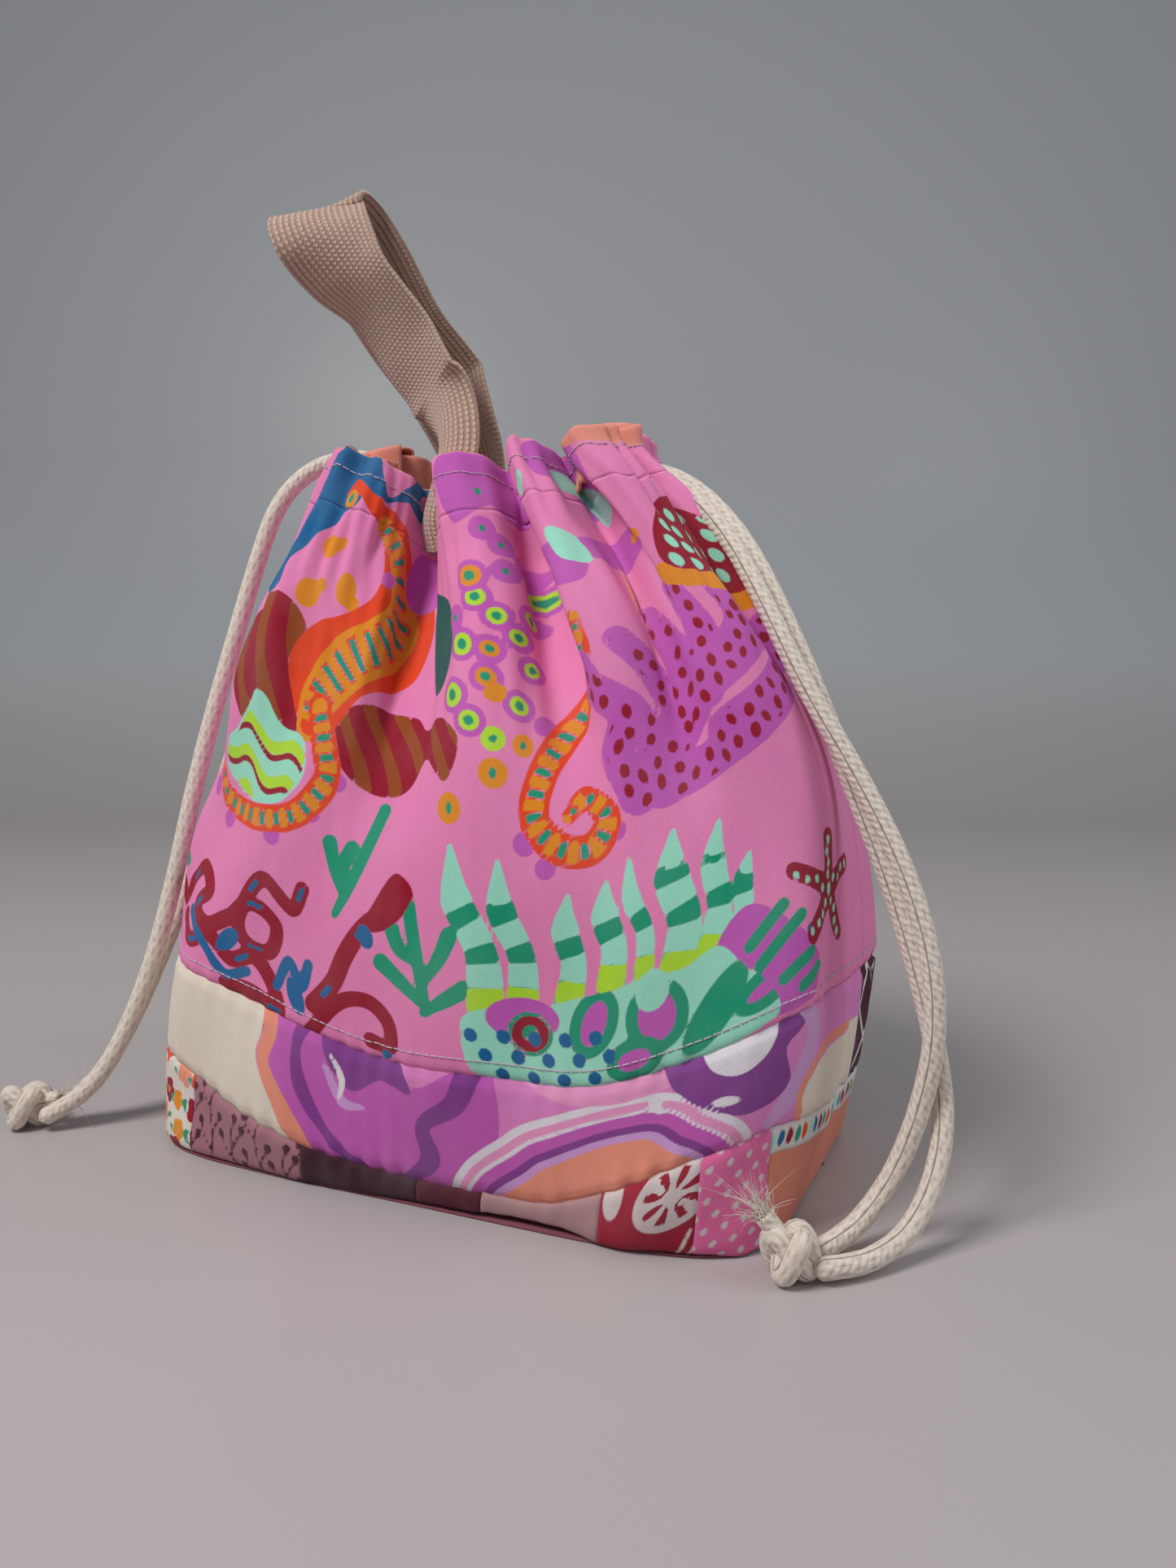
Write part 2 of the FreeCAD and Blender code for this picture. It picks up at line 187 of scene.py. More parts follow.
sweep = []
for step in range(13):
    bend = math.pi / 2 * step / 12
    sweep.append((0.9 + 0.5 * math.sin(bend), 0.5 - 0.5 * math.cos(bend)))
profile = [(-2.2, 0.0), (0.2, 0.0)] + sweep + [(1.4, 3.0)]
floor_points = [(x, y, z) for y, z in profile for x in (-3.0, 3.0)]
floor_faces = [(2 * k, 2 * k + 1, 2 * k + 3, 2 * k + 2) for k in range(len(profile) - 1)]
floor = object_from("table_and_wall", floor_points, floor_faces)
floor_finish = Loom("pale_table", roughness=0.32, sheen=0.0)
place = floor_finish.place()
cloudy = floor_finish.noise(place, 3.0)
heights = np.array([point[2] for point in floor_points])
give_field(floor, "wall_share", np.clip(heights / 0.2, 0, 1))
floor_finish.colour(floor_finish.mix(
    floor_finish.attribute("wall_share"),
    floor_finish.mix(cloudy, dye(178, 170, 170), dye(184, 177, 176)), dye(190, 193, 195)))
floor.data.materials.append(floor_finish.material)
floor.rotation_euler = (0, 0, math.radians(24))

world = bpy.data.worlds.new("soft_room")
world.use_nodes = True
world.node_tree.nodes["Background"].inputs["Color"].default_value = dye(222, 228, 232)
world.node_tree.nodes["Background"].inputs["Strength"].default_value = 0.34
scene.world = world


def lamp(name, place, target, size, power, tint):
    light = bpy.data.lights.new(name, "AREA")
    light.size, light.energy, light.color = size, power, tint
    holder = bpy.data.objects.new(name, light)
    holder.location = place
    holder.rotation_euler = (Vector(target) - Vector(place)).to_track_quat("-Z", "Y").to_euler()
    scene.collection.objects.link(holder)


lamp("window", (-0.35, -0.75, 1.15), (0, 0, 0.1), 0.45, 13.0, (1.0, 0.98, 0.97))
lamp("room", (1.2, 0.2, 0.8), (0, 0, 0.1), 0.8, 5.0, (0.95, 0.98, 1.0))
scene.view_settings.view_transform = "Standard"

camera_data = bpy.data.cameras.new("camera")
camera_data.sensor_fit = "VERTICAL"
camera_data.sensor_height = 36.0
camera_data.lens = 26.04
camera = bpy.data.objects.new("camera", camera_data)
camera.location = (0.182, -0.344, 0.151)
camera.rotation_euler = (math.radians(90 - 4.65), 0, math.radians(24))
scene.collection.objects.link(camera)
scene.camera = camera

# Drawcords ----------------------------------------------------------------------------------------
# Two braided cotton cords, 6 mm thick. Each runs through both channels of the neck, comes out at one
# side of the bag and hangs down that side, and its two ends are tied in one knot on the table.
CORD = 0.006
cord_routes = {
    "left_cord_front": [
        (-42.5, -0.7, 231.2), (-50, -0.8, 232), (-63, -5.5, 233.5), (-74.5, -11.5, 228.5),
        (-83.5, -17.5, 216.5), (-89.5, -21.5, 196), (-96, -26.5, 169), (-102, -32, 142),
        (-107.5, -37, 114), (-111.5, -42, 86), (-116, -47.5, 60), (-121.5, -53.5, 38),
        (-127.5, -59.5, 21.5), (-135, -66, 10), (-144.5, -74.3, 4.4),
    ],
    "left_cord_rear": [
        (-42.5, 8.6, 231.0), (-50, 8.8, 231.8), (-63.5, 6, 229.5), (-74, 2.5, 221),
        (-83, -1.5, 207), (-90.5, -5.5, 187), (-98.5, -10.5, 161), (-105, -15.5, 134),
        (-111, -21.5, 108), (-116.5, -28.5, 84), (-121.5, -37, 60.5), (-126, -45.5, 40),
        (-130.5, -53.5, 24), (-137, -59.5, 11.5), (-146, -67.3, 5),
    ],
    "right_cord_front": [
        (19.7, -0.6, 223.9), (40, -0.8, 224.2), (53, -0.5, 220.5), (66, -2.5, 211.5),
        (80, -9, 197), (93, -17, 177), (107, -23.5, 152), (123, -25, 127),
        (136, -27, 103), (144, -29, 80), (146, -30.5, 58), (142.5, -31.5, 38),
        (137, -33.5, 21), (131, -38.5, 10.5), (125.5, -47, 5), (119.5, -59, 4.2),
    ],
    "right_cord_rear": [
        (19.7, 8.6, 223.9), (40, 8.8, 224.1), (55, 9, 221), (69, 6, 211.5),
        (83.5, -1, 195.5), (96, -9, 175), (108.5, -15.5, 151), (119, -16.5, 125),
        (130, -17, 99), (139, -19, 73), (145.5, -22.5, 50), (148.5, -28, 32),
        (146.5, -35.5, 17.5), (141.5, -44, 7.5), (135, -53.5, 4), (128.5, -61.5, 3.9),
        (121.5, -67, 4.5),
    ],
}


def braid_finish():
    """Twisted cotton yarn: fine ply lines on each strand, fluff, and painted shade in the hollows between
    strands.
    """
    loom = Loom("cotton_cord", roughness=0.92, sheen=0.35)
    around, run = loom.along_up()
    hollow = loom.attribute("hollow")
    ply = ((around * 1.9 + run * 2.6).sine() * 0.5 + 0.5)
    place = loom.place()
    fluff = loom.noise(place, 900.0, 4.0)
    tint = loom.mix(loom.noise(place, 60.0), dye(226, 212, 198), dye(238, 228, 216))
    # Painted shade: the cord darkens towards brown in the hollows between strands, with a little random
    # fluff tone mixed in.
    tint = loom.mix((hollow * 0.75 + fluff * 0.15).clamp(), tint, dye(150, 128, 112))
    loom.colour(tint)
    loom.relief(ply * 0.5 + fluff * 0.8, 0.00035)
    return loom.material


cord_cotton = braid_finish()


def smooth_line(name, points):
    """The points of an even, smooth line that has the route's points as its control points."""
    curve = bpy.data.curves.new(name, "CURVE")
    curve.dimensions = "3D"
    spline = curve.splines.new("NURBS")
    spline.points.add(len(points) - 1)
    for point, place in zip(spline.points, points):
        point.co = (*place, 1.0)
    spline.order_u = 3
    spline.use_endpoint_u = True
    spline.resolution_u = 24
    holder = bpy.data.objects.new(name, curve)
    scene.collection.objects.link(holder)
    bpy.context.view_layer.update()
    mesh = bpy.data.meshes.new_from_object(holder.evaluated_get(bpy.context.evaluated_depsgraph_get()))
    line = np.array([v.co[:] for v in mesh.vertices])
    bpy.data.objects.remove(holder)
    bpy.data.meshes.remove(mesh)
    return line


def evenly(line, gap):
    run = np.append(0, np.cumsum(np.linalg.norm(np.diff(line, axis=0), axis=1)))
    at = np.linspace(0, run[-1], max(int(run[-1] / gap), 4) + 1)
    return np.stack([np.interp(at, run, line[:, k]) for k in range(3)], axis=1), at


def carried_frames(line):
    """Two directions across the line at each point, carried along it without twisting."""
    ahead = np.gradient(line, axis=0)
    ahead /= np.linalg.norm(ahead, axis=1, keepdims=True)
    side = np.cross(ahead[0], (0, 0, 1.0))
    if np.linalg.norm(side) < 0.2:
        side = np.cross(ahead[0], (0, 1.0, 0))
    sides = []
    for direction in ahead:
        side = side - direction * (side @ direction)
        side = side / np.linalg.norm(side)
        sides.append(side)
    sides = np.array(sides)
    return sides, np.cross(ahead, sides)


STRANDS, ROUNDS, BRAID_STEP = 8, 40, 0.00075


def braided_tube(name, line, thick, closed_ends=True):
    """A round braid along a line: strands cross over and under each other in two directions."""
    line, at = evenly(line, BRAID_STEP)
    sides, ups = carried_frames(line)
    turn = 2 * np.pi * np.arange(ROUNDS) / ROUNDS
    pitch = 2 * np.pi / (thick * 2.9)
    a = np.cos(STRANDS / 2 * turn[None, :] + pitch * at[:, None])
    b = np.cos(STRANDS / 2 * turn[None, :] - pitch * at[:, None])
    over = np.maximum(a * (b > -0.2), b * (a > -0.2))
    relief = np.clip(np.maximum(abs(a), abs(b)), 0, 1) ** 0.7
    radius = thick / 2 * (0.925 + 0.075 * relief + 0.012 * over)
    caps = np.minimum(at, at[-1] - at)
    if closed_ends:
        radius = radius * np.sqrt(np.clip(caps / (thick * 0.35), 0.02, 1))[:, None]
    rings = (line[:, None] + radius[..., None] * (sides[:, None] * np.cos(turn)[None, :, None] + ups[:,
        None] * np.sin(turn)[None, :, None]))
    count = len(line)
    faces = []
    for j in range(count - 1):
        for i in range(ROUNDS):
            k = (i + 1) % ROUNDS
            faces.append((j * ROUNDS + i, j * ROUNDS + k, (j + 1) * ROUNDS + k, (j + 1) * ROUNDS + i))
    faces.append(tuple(range(ROUNDS))[::-1])
    faces.append(tuple(range((count - 1) * ROUNDS, count * ROUNDS)))
    tube = object_from(name, rings.reshape(-1, 3), faces)
    give_map(tube, np.stack([np.tile(turn * thick / 2, count), np.repeat(at, ROUNDS)], axis=1))
    # hollow: how deep each point lies between strands, where the cord finish paints shade.
    give_field(tube, "hollow", 1 - relief)
    tube.data.materials.append(cord_cotton)
    return tube, line


cord_pieces = {}
for name, route in cord_routes.items():
    line = smooth_line(name + "_line", np.array(route) * MM)
    tube, path = braided_tube(name + "_braid", line, CORD)
    dress(tube, [name], name.split("_")[0] + "_drawcord")
    cord_pieces[name] = (tube, path)

# Knots --------------------------------------------------------------------------------------------
# The two ends of each drawcord tied together in one overhand knot, pulled tight, with the cut ends
# frayed to a tuft of loose cotton.
knots = {
    "left_knot": {"centre": (-153, -72, 7.5), "half": (9.5, 8.5, 7.4), "turn": 35, "tuft": (9, 6, 2),
    "seed": 3},
    "right_knot": {"centre": (115.5, -66.5, 7.5), "half": (8.6, 7.8, 7.4), "turn": 20,
    "tuft": (-7, -1, 9), "seed": 8},
}
FIBRES = 90


def tuft_of(name, root, ahead, seed):
    """Loose fibres that fan out from a cut end, each a thin three-sided strand."""
    rng = np.random.default_rng(seed)
    vertices, faces = [], []
    for _ in range(FIBRES):
        start = root + rng.normal(0, 0.0011, 3)
        heading = ahead + rng.normal(0, 0.42, 3)
        heading /= np.linalg.norm(heading)
        bend = rng.normal(0, 0.5, 3)
        length = rng.uniform(0.004, 0.010)
        first = len(vertices)
        for step in range(6):
            share = step / 5
            spot = start + (heading * share + bend * share * share) * length
            spot[2] = max(spot[2], 0.0004)
            for corner in range(3):
                turn = 2 * math.pi * corner / 3
                thin = 0.00016 * (1.15 - share)
                vertices.append(spot + thin * np.array((math.cos(turn), math.sin(turn),
                    0.4 * math.sin(turn))))
        for step in range(5):
            for corner in range(3):
                a, b = first + 3 * step + corner, first + 3 * step + (corner + 1) % 3
                faces.append((a, b, b + 3, a + 3))
    tuft = object_from(name, vertices, faces)
    tuft.data.materials.append(cord_cotton)
    return tuft


knot_pieces = {}
for name, plan in knots.items():
    centre = np.array(plan["centre"]) * MM
    half = (np.array(plan["half"]) - 3.0) * MM
    t = np.linspace(-0.35, 2 * np.pi + 0.35, 400)
    wrap = np.stack([
        (np.sin(t) + 2 * np.sin(2 * t)) / 3.0 * half[0],
        (np.cos(t) - 2 * np.cos(2 * t)) / 3.0 * half[1],
        -np.sin(3 * t) * half[2],
    ], axis=1)
    spin = np.array(Matrix.Rotation(math.radians(plan["turn"]), 3, "Z"))
    tube, _ = braided_tube(name + "_turns", wrap @ spin.T + centre, CORD * 0.98)
    out = np.array(plan["tuft"]) * MM
    stub_line = centre + np.linspace(0.2, 1.0, 12)[:, None] * out[None, :]
    stub, _ = braided_tube(name + "_end", stub_line, CORD * 0.9, closed_ends=False)
    fray = tuft_of(name + "_fray", centre + out, out / np.linalg.norm(out), plan["seed"])
    body = name.split("_")[0] + "_drawcord"
    for piece, nodes in ((tube, [name]), (stub, ()), (fray, ())):
        dress(piece, nodes, body)
    knot_pieces[name] = [tube, stub, fray]

for name, (tube, path) in cord_pieces.items():
    side = name.split("_")[0]
    exit_x = -0.046 if side == "left" else 0.034
    front_end = name.endswith("front")
    knot_pieces[side + "_knot"] if front_end else ()

# Cloth --------------------------------------------------------------------------------------------
# The bag is a tube of cloth, 660 mm round and 262 mm up the side: patchwork at the foot, a marbled
# band, a printed panel, and a channel on top that the drawcords gather into folds. "Along" is
# measured round each half from side seam to side seam, "up" from the foot edge, both in millimetres.
CLOTH_HALF = 165.0
SEAM_LOW, SEAM_HIGH = 33.0, 66.0
CHANNEL_LOW, CLOTH_TOP = 242.0, 262.0
STRIP_LOW = 25.0
GRID = 1.25

# Level outlines: height, half width, depth in front, depth behind, squareness, middle x, middle y.
body_rows = np.array([
    (0.0, 108.0, 71.0, 61.0, 6.5, 0.0, 0.0),
    (22.0, 112.0, 73.0, 66.0, 5.0, 1.5, 0.0),
    (45.0, 114.5, 74.0, 72.0, 4.2, 3.0, 0.0),
    (66.0, 115.0, 74.0, 76.0, 3.6, 4.0, 0.0),
    (95.0, 113.0, 73.0, 78.0, 3.0, 4.5, 0.0),
    (125.0, 108.0, 69.0, 76.0, 2.6, 4.5, 1.0),
    (155.0, 100.0, 62.0, 70.0, 2.3, 3.0, 2.0),
    (180.0, 89.0, 54.0, 61.0, 2.15, 0.0, 3.0),
    (200.0, 77.0, 46.0, 51.0, 2.05, -3.0, 4.0),
    (212.0, 68.0, 41.0, 44.5, 2.0, -4.5, 4.0),
    (220.0, 60.0, 38.0, 39.5, 2.0, -6.0, 4.0),
    (228.0, 52.0, 35.0, 36.0, 2.0, -6.0, 4.0),
])
# The gathered top edge of each half: along, x, y, height.
front_ring = np.array([
    (-165, -46, 3, 236), (-148, -56, -7, 232), (-130, -44, -8, 229), (-118, -39, -9, 227),
    (-100, -47, -22, 228), (-80, -45, -35, 228), (-58, -34, -39, 226), (-36, -24, -36, 222),
    (-18, -20, -27, 218), (0, -16, -17.5, 216), (13, -12, -27, 219), (26, -3, -35, 223),
    (38, 6, -30, 224), (50, 9, -17, 221), (60, 12, -27, 224), (70, 19, -33, 227),
    (80, 25, -25, 226), (88, 26, -13, 223), (102, 33, -25, 228), (118, 46, -24, 230),
    (134, 45, -11, 231), (142, 39, -6, 232), (155, 47, -2, 234), (165, 36, 4, 236),
], float)
back_ring = np.array([
    (-165, 36, 4, 236), (-150, 47, 12, 233), (-134, 40, 17, 230), (-124, 35, 15, 228),
    (-108, 38, 30, 229), (-88, 30, 38, 229), (-68, 21, 36, 228), (-52, 16, 26, 224),
    (-38, 14, 36, 227), (-20, 4, 42, 229), (0, -5, 41, 228), (16, -10, 34, 226),
    (26, -11, 25, 224), (38, -17, 37, 228), (58, -27, 40, 230), (76, -34, 31, 230),
    (86, -35, 19, 228), (102, -43, 29, 231), (122, -52, 22, 232), (140, -44, 11, 233),
    (152, -52, 8, 234), (165, -46, 3, 236),
], float)
# Heights of the two seams below the printed panel, which dip where the filled bag bellies out.
front_low = np.array([(-165, 30), (-120, 31), (-81, 26.5), (-55, 18.5), (-34, 12.5), (-4, 9.0),
    (24, 8.0), (45, 8.5), (64, 17), (82, 27.5), (98, 33), (120, 33), (165, 27)], float)
front_high = np.array([(-165, 65), (-105, 63), (-70, 58.5), (-39, 50.5), (-14, 45), (20, 43.5),
    (52, 43), (80, 53), (104, 63), (135, 65.5), (165, 65)], float)
back_low = np.array([(-165, 27), (-110, 31), (-60, 25), (0, 23), (60, 25), (110, 31), (165, 30)], float)
back_high = np.array([(-165, 65), (-90, 61), (0, 57), (90, 61), (165, 65)], float)
levels = np.arange(0.0, 229.0, 2.0)


def through(x, xs, ys):
    """A smooth curve through the points (xs, ys), read at x."""
    x = np.clip(x, xs[0], xs[-1])
    slope = np.gradient(ys, xs)
    i = np.clip(np.searchsorted(xs, x) - 1, 0, len(xs) - 2)
    step = xs[i + 1] - xs[i]
    u = (x - xs[i]) / step
    ends = (1 + 2 * u) * (1 - u) ** 2 * ys[i] + u * u * (3 - 2 * u) * ys[i + 1]
    return ends + u * (1 - u) * step * ((1 - u) * slope[i] - u * slope[i + 1])


def ease(value):
    value = np.clip(value, 0, 1)
    return value * value * (3 - 2 * value)


def level_line(height, front, share):
    """Half of a level outline, at even shares of its length from seam to seam."""
    wide, fore, aft, square, mid_x, mid_y = [through(height, body_rows[:, 0],
        body_rows[:, k]) for k in range(1, 7)]
    seam_y = 8.0 - 4.0 * height / levels[-1]
    turn = np.pi + 2 * np.pi * np.arange(2880) / 2880
    across, along = np.cos(turn), np.sin(turn)
    deep = np.where(along < 0, fore, aft)
    reach = ((abs(across) / wide) ** square + (abs(along) / deep) ** square) ** (-1 / square)
    x, y = mid_x + reach * across, mid_y + reach * along
    far = 1000.0
    left = np.argmin(abs(y - seam_y) + np.where(x < mid_x, 0, far))
    right = np.argmin(abs(y - seam_y) + np.where(x > mid_x, 0, far))
    x, y = np.roll(x, -left), np.roll(y, -left)
    cut = (right - left) % len(x)
    x, y = (x[:cut + 1], y[:cut + 1]) if front else (np.append(x[cut:], x[0]), np.append(y[cut:], y[0]))
    run = np.append(0, np.cumsum(np.hypot(np.diff(x), np.diff(y))))
    return np.interp(share, run / run[-1], x), np.interp(share, run / run[-1], y)


def ripples(seed, along, up, waves, long_waves):
    """A smooth uneven field between about -1 and 1, longer up the cloth than along it."""
    rng = np.random.default_rng(seed)
    total = 0
    for _ in range(waves):
        a = rng.uniform(0.5, 1.6) * 2 * np.pi / long_waves[0]
        b = rng.uniform(-1.0, 1.0) * 2 * np.pi / long_waves[1]
        total = total + np.cos(a * along + b * up + rng.uniform(0, 2 * np.pi))
    return total / np.sqrt(waves)


def hang_cloth(front):
    """The hanging shape of one half, as rows of points up the cloth, in millimetres."""
    ring = front_ring if front else back_ring
    along = np.linspace(-CLOTH_HALF, CLOTH_HALF, int(2 * CLOTH_HALF / GRID) + 1)
    up = np.linspace(0, CLOTH_TOP, int(CLOTH_TOP / GRID) + 1)
    share = (along + CLOTH_HALF) / (2 * CLOTH_HALF)
    outline = np.array([level_line(z, front, share) for z in levels])
    columns = np.arange(len(along))
    low_seam, high_seam = (front_low, front_high) if front else (back_low, back_high)
    low, high = (through(along, seam[:, 0], seam[:, 1]) for seam in (low_seam, high_seam))

    def on_outline(z):
        place = np.clip(z / 2.0, 0, len(levels) - 1.001)
        i = place.astype(int)
        u = place - i
        return [outline[i, k, columns] * (1 - u) + outline[i + 1, k, columns] * u for k in (0, 1)]

    top = np.array([through(along, ring[:, 0], ring[:, k]) for k in (1, 2, 3)])
    rim = on_outline(top[2])
    profile = []
    for w in np.linspace(0, 1, 161):
        z = high + (top[2] - high) * w
        x, y = on_outline(z)
        pull = ease((z - 104) / 88)
        profile.append(np.array([x + pull * (top[0] - rim[0]), y + pull * (top[1] - rim[1]), z]))
    profile = np.array(profile)
    run = np.cumsum(np.linalg.norm(np.diff(profile, axis=0, prepend=profile[:1]), axis=1), axis=0)
    run /= run[-1]
    points = np.zeros((len(up), len(along), 3))
    rise = np.clip((up - SEAM_HIGH) / (CLOTH_TOP - SEAM_HIGH), 0, 1)
    for i in columns:
        for k in range(3):
            points[:, i, k] = np.interp(rise, run[:, i], profile[:, k, i])
    inward = 1.0 if front else -1.0
    for j in np.flatnonzero(up < SEAM_HIGH):
        if up[j] >= SEAM_LOW:
            z, under = low + (high - low) * (up[j] - SEAM_LOW) / (SEAM_HIGH - SEAM_LOW), 0 * low
        else:
            z, under = np.maximum(low - SEAM_LOW + up[j], 0), np.maximum(SEAM_LOW - low - up[j], 0)
        x, y = on_outline(z)
        points[j] = np.stack([x * (1 - 0.004 * under), y + inward * under, z + 0.8], axis=-1)
    for _ in range(6):
        points[1:-1] = 0.5 * points[1:-1] + 0.25 * (points[:-2] + points[2:])
    return along, up, points


def normals_of(points):
    """Outward directions of a grid of points whose rows go round and whose columns go up."""
    across = np.gradient(points, axis=1)
    rise = np.gradient(points, axis=0)
    normal = np.cross(across, rise)
    return normal / np.maximum(np.linalg.norm(normal, axis=2, keepdims=True), 1e-9)


def crumple(along, up, points, seed):
    """Folds that fan down from the gathers, drag lines and the pucker of the seams."""
    s, t = np.meshgrid(along, up)
    near_top = ease((t - 120) / 120)
    ends = ease((CLOTH_HALF - abs(s)) / 14)
    fans = ripples(seed, s, t, 7, (30.0, 260.0)) * (0.45 + 1.35 * near_top)
    drags = ripples(seed + 1, s, t, 6, (70.0, 90.0)) * 1.7
    fine = ripples(seed + 2, s, t, 9, (11.0, 60.0)) * (0.10 + 0.45 * near_top)
    pucker = ripples(seed + 3, s, t, 6, (9.0, 400.0)) * 0.35
    at_seams = np.exp(-((t - SEAM_LOW) / 5) ** 2) + np.exp(-((t - SEAM_HIGH) / 6) ** 2)
    free = ease((t - 6) / 20)
    valleys = 0 * s
    for place, lean, wide, deep in ((-1, -0.16, 7, 7.5), (50, 0.10, 8, 8.5), (-44, 0.05, 6, 2.2),
            (23, 0.02, 6, 2.0), (90, 0.22, 8, 3.5), (112, 0.34, 9, 3.0), (-100, 0.0, 9, 3.0)):
        bed = np.exp(-((s - place - lean * (CLOTH_TOP - t)) / wide) ** 2)
        valleys = valleys + deep * bed * ease((t - 128) / 90)
    lift = (fans + drags + fine - valleys * ease((250 - t) / 22)) * free * ends + pucker * at_seams
    lift -= 1.0 * np.exp(-((t - SEAM_LOW) / 1.6) ** 2) + 1.0 * np.exp(-((t - SEAM_HIGH) / 1.6) ** 2)
    return points + normals_of(points) * lift[..., None]


halves = {}
for side in ("front", "back"):
    along, up, shape = hang_cloth(side == "front")
    halves[side] = crumple(along, up, shape, 11 if side == "front" else 47)
# The two halves meet along their side seams.
for j_front, j_back in ((0, -1), (-1, 0)):
    shared = (halves["front"][:, j_front] + halves["back"][:, j_back]) / 2
    halves["front"][:, j_front] = shared
    halves["back"][:, j_back] = shared

# Printed cotton -----------------------------------------------------------------------------------
# The panel is a bright sea-garden print on pink: corals, weeds, rings and a star, printed flat with
# crisp edges. Every colour is kept as a distance to its nearest edge at each point of the cloth.
FAR = 40.0


class Print:
    """A print on a grid of cloth: for each ink, how far each point lies outside it."""

    def __init__(self, along, up):
        self.along, self.up = np.meshgrid(along, up)
        self.inks = {}

    def ink(self, colour, shape):
        for other in self.inks:
            if other != colour:
                self.inks[other] = np.maximum(self.inks[other], -shape)
        if colour is not None:
            self.inks[colour] = np.minimum(self.inks.get(colour, np.full(self.along.shape, FAR)), shape)

    def spot(self, x, y, wide, high=None, turn=0.0):
        high = high or wide
        c, s = math.cos(math.radians(turn)), math.sin(math.radians(turn))
        across, rise = self.along - x, self.up - y
        reach = np.hypot((across * c + rise * s) / wide, (rise * c - across * s) / high)
        return np.minimum((reach - 1) * min(wide, high), FAR)

    def spots(self, places):
        shape = np.full(self.along.shape, FAR)
        for place in places:
            shape = np.minimum(shape, self.spot(*place))
        return shape

    def box_round(self, points, margin):
        low, high = points.min(0) - margin, points.max(0) + margin
        inside = (self.along > low[0]) & (self.along < high[0]) & (self.up > low[1]) & (self.up < high[1])
        return np.nonzero(inside)

    def stroke(self, points, widths):
        """A brush line through the points. Gives the distance outside it and the run along it."""
        points = np.array(points, float)
        knots = np.arange(len(points))
        fine = np.linspace(0, len(points) - 1, 6 * (len(points) - 1) + 1)
        line = np.stack([through(fine, knots, points[:, k]) for k in (0, 1)], axis=1)
        width = np.interp(fine, knots, np.broadcast_to(widths, len(points)))
        near = self.box_round(line, width.max() + 4)
        x, y = self.along[near], self.up[near]
        best, run_at, run = np.full(x.shape, 99.0), np.zeros(x.shape), 0.0
        for k in range(len(line) - 1):
            step = line[k + 1] - line[k]
            length = np.hypot(*step)
            share = np.clip(((x - line[k, 0]) * step[0] + (y - line[k, 1]) * step[1]) / length ** 2, 0,
                1)
            gap = np.hypot(x - line[k, 0] - share * step[0], y - line[k, 1] - share * step[1])
            gap = gap - (width[k] + share * (width[k + 1] - width[k])) / 2
            run_at = np.where(gap < best, run + share * length, run_at)
            best = np.minimum(best, gap)
            run += length
        shape, runs = np.full(self.along.shape, FAR), np.zeros(self.along.shape)
        shape[near], runs[near] = np.minimum(best, FAR), run_at
        return shape, runs

    def line(self, points, widths):
        return self.stroke(points, widths)[0]

    def area(self, points, margin=4):
        """The inside of a smooth closed outline."""
        points = np.array(list(points[-2:]) + list(points) + list(points[:2]), float)
        count = len(points) - 4
        fine = 2 + np.arange(count * 5) / 5
        knots = np.arange(len(points))
        line = np.stack([through(fine, knots, points[:, k]) for k in (0, 1)], axis=1)
        near = self.box_round(line, margin)
        x, y = self.along[near], self.up[near]
        best, inside = np.full(x.shape, 99.0), np.zeros(x.shape, bool)
        for a, b in zip(line, np.roll(line, -1, axis=0)):
            step = b - a
            share = np.clip(((x - a[0]) * step[0] + (y - a[1]) * step[1]) / max(step @ step, 1e-9), 0,
                1)
            best = np.minimum(best, np.hypot(x - a[0] - share * step[0], y - a[1] - share * step[1]))
            if a[1] != b[1]:
                crosses = (a[1] > y) != (b[1] > y)
                inside ^= crosses & (x < a[0] + (y - a[1]) * step[0] / step[1])
        shape = np.full(self.along.shape, FAR)
        shape[near] = np.minimum(np.where(inside, -best, best), FAR)
        return shape

    def fill(self, colour, outline):
        self.ink(colour, self.area(outline))

    def dab(self, colour, places):
        self.ink(colour, self.spots(places))

    def brush(self, colour, points, widths):
        self.ink(colour, self.line(points, widths))

    def bars(self, shape, run, pitch, thick, inset):
        """Short bars across a brush line, evenly along it and set in from its edge."""
        return np.maximum(shape + inset, abs((run % pitch) - pitch / 2) - thick / 2)


inks = {
    "orange": dye(240, 70, 22), "ochre": dye(236, 146, 20), "crimson": dye(158, 0, 40),
    "brown": dye(158, 74, 22), "mint": dye(162, 234, 208), "lime": dye(186, 232, 52),
    "teal": dye(14, 158, 120), "blue": dye(8, 104, 160), "orchid": dye(204, 92, 190),
    "deep_teal": dye(14, 92, 84), "peach": dye(240, 150, 130), "pale": dye(222, 206, 206),
    "white": dye(236, 230, 226), "sprig": dye(78, 30, 48),
}


def plume(cloth, points, widths, fill="ochre", edge="orange"):
    """A curling striped weed: a broad stem with an ochre heart, orange ribs and teal dashes."""
    shape, run = cloth.stroke(points, widths)
    cloth.ink(edge, shape)
    heart, heart_run = cloth.stroke(points, np.array(widths) * 0.72)
    cloth.ink(fill, heart)
    cloth.ink("orange", cloth.bars(heart, heart_run, 6.6, 3.4, 0.2))
    cloth.ink("teal", cloth.bars(heart, heart_run, 6.6, 1.9, 1.0))


def striped_fan(cloth, outline, lean, pitch=13.0):
    """A crimson fan shell with brown stripes."""
    shape = cloth.area(outline)
    cloth.ink("crimson", shape)
    slant = cloth.along + cloth.up * lean + 2.0 * np.sin(cloth.up / 9)
    cloth.ink("brown", np.maximum(shape, abs((slant % pitch) - pitch / 2) - pitch * 0.22))


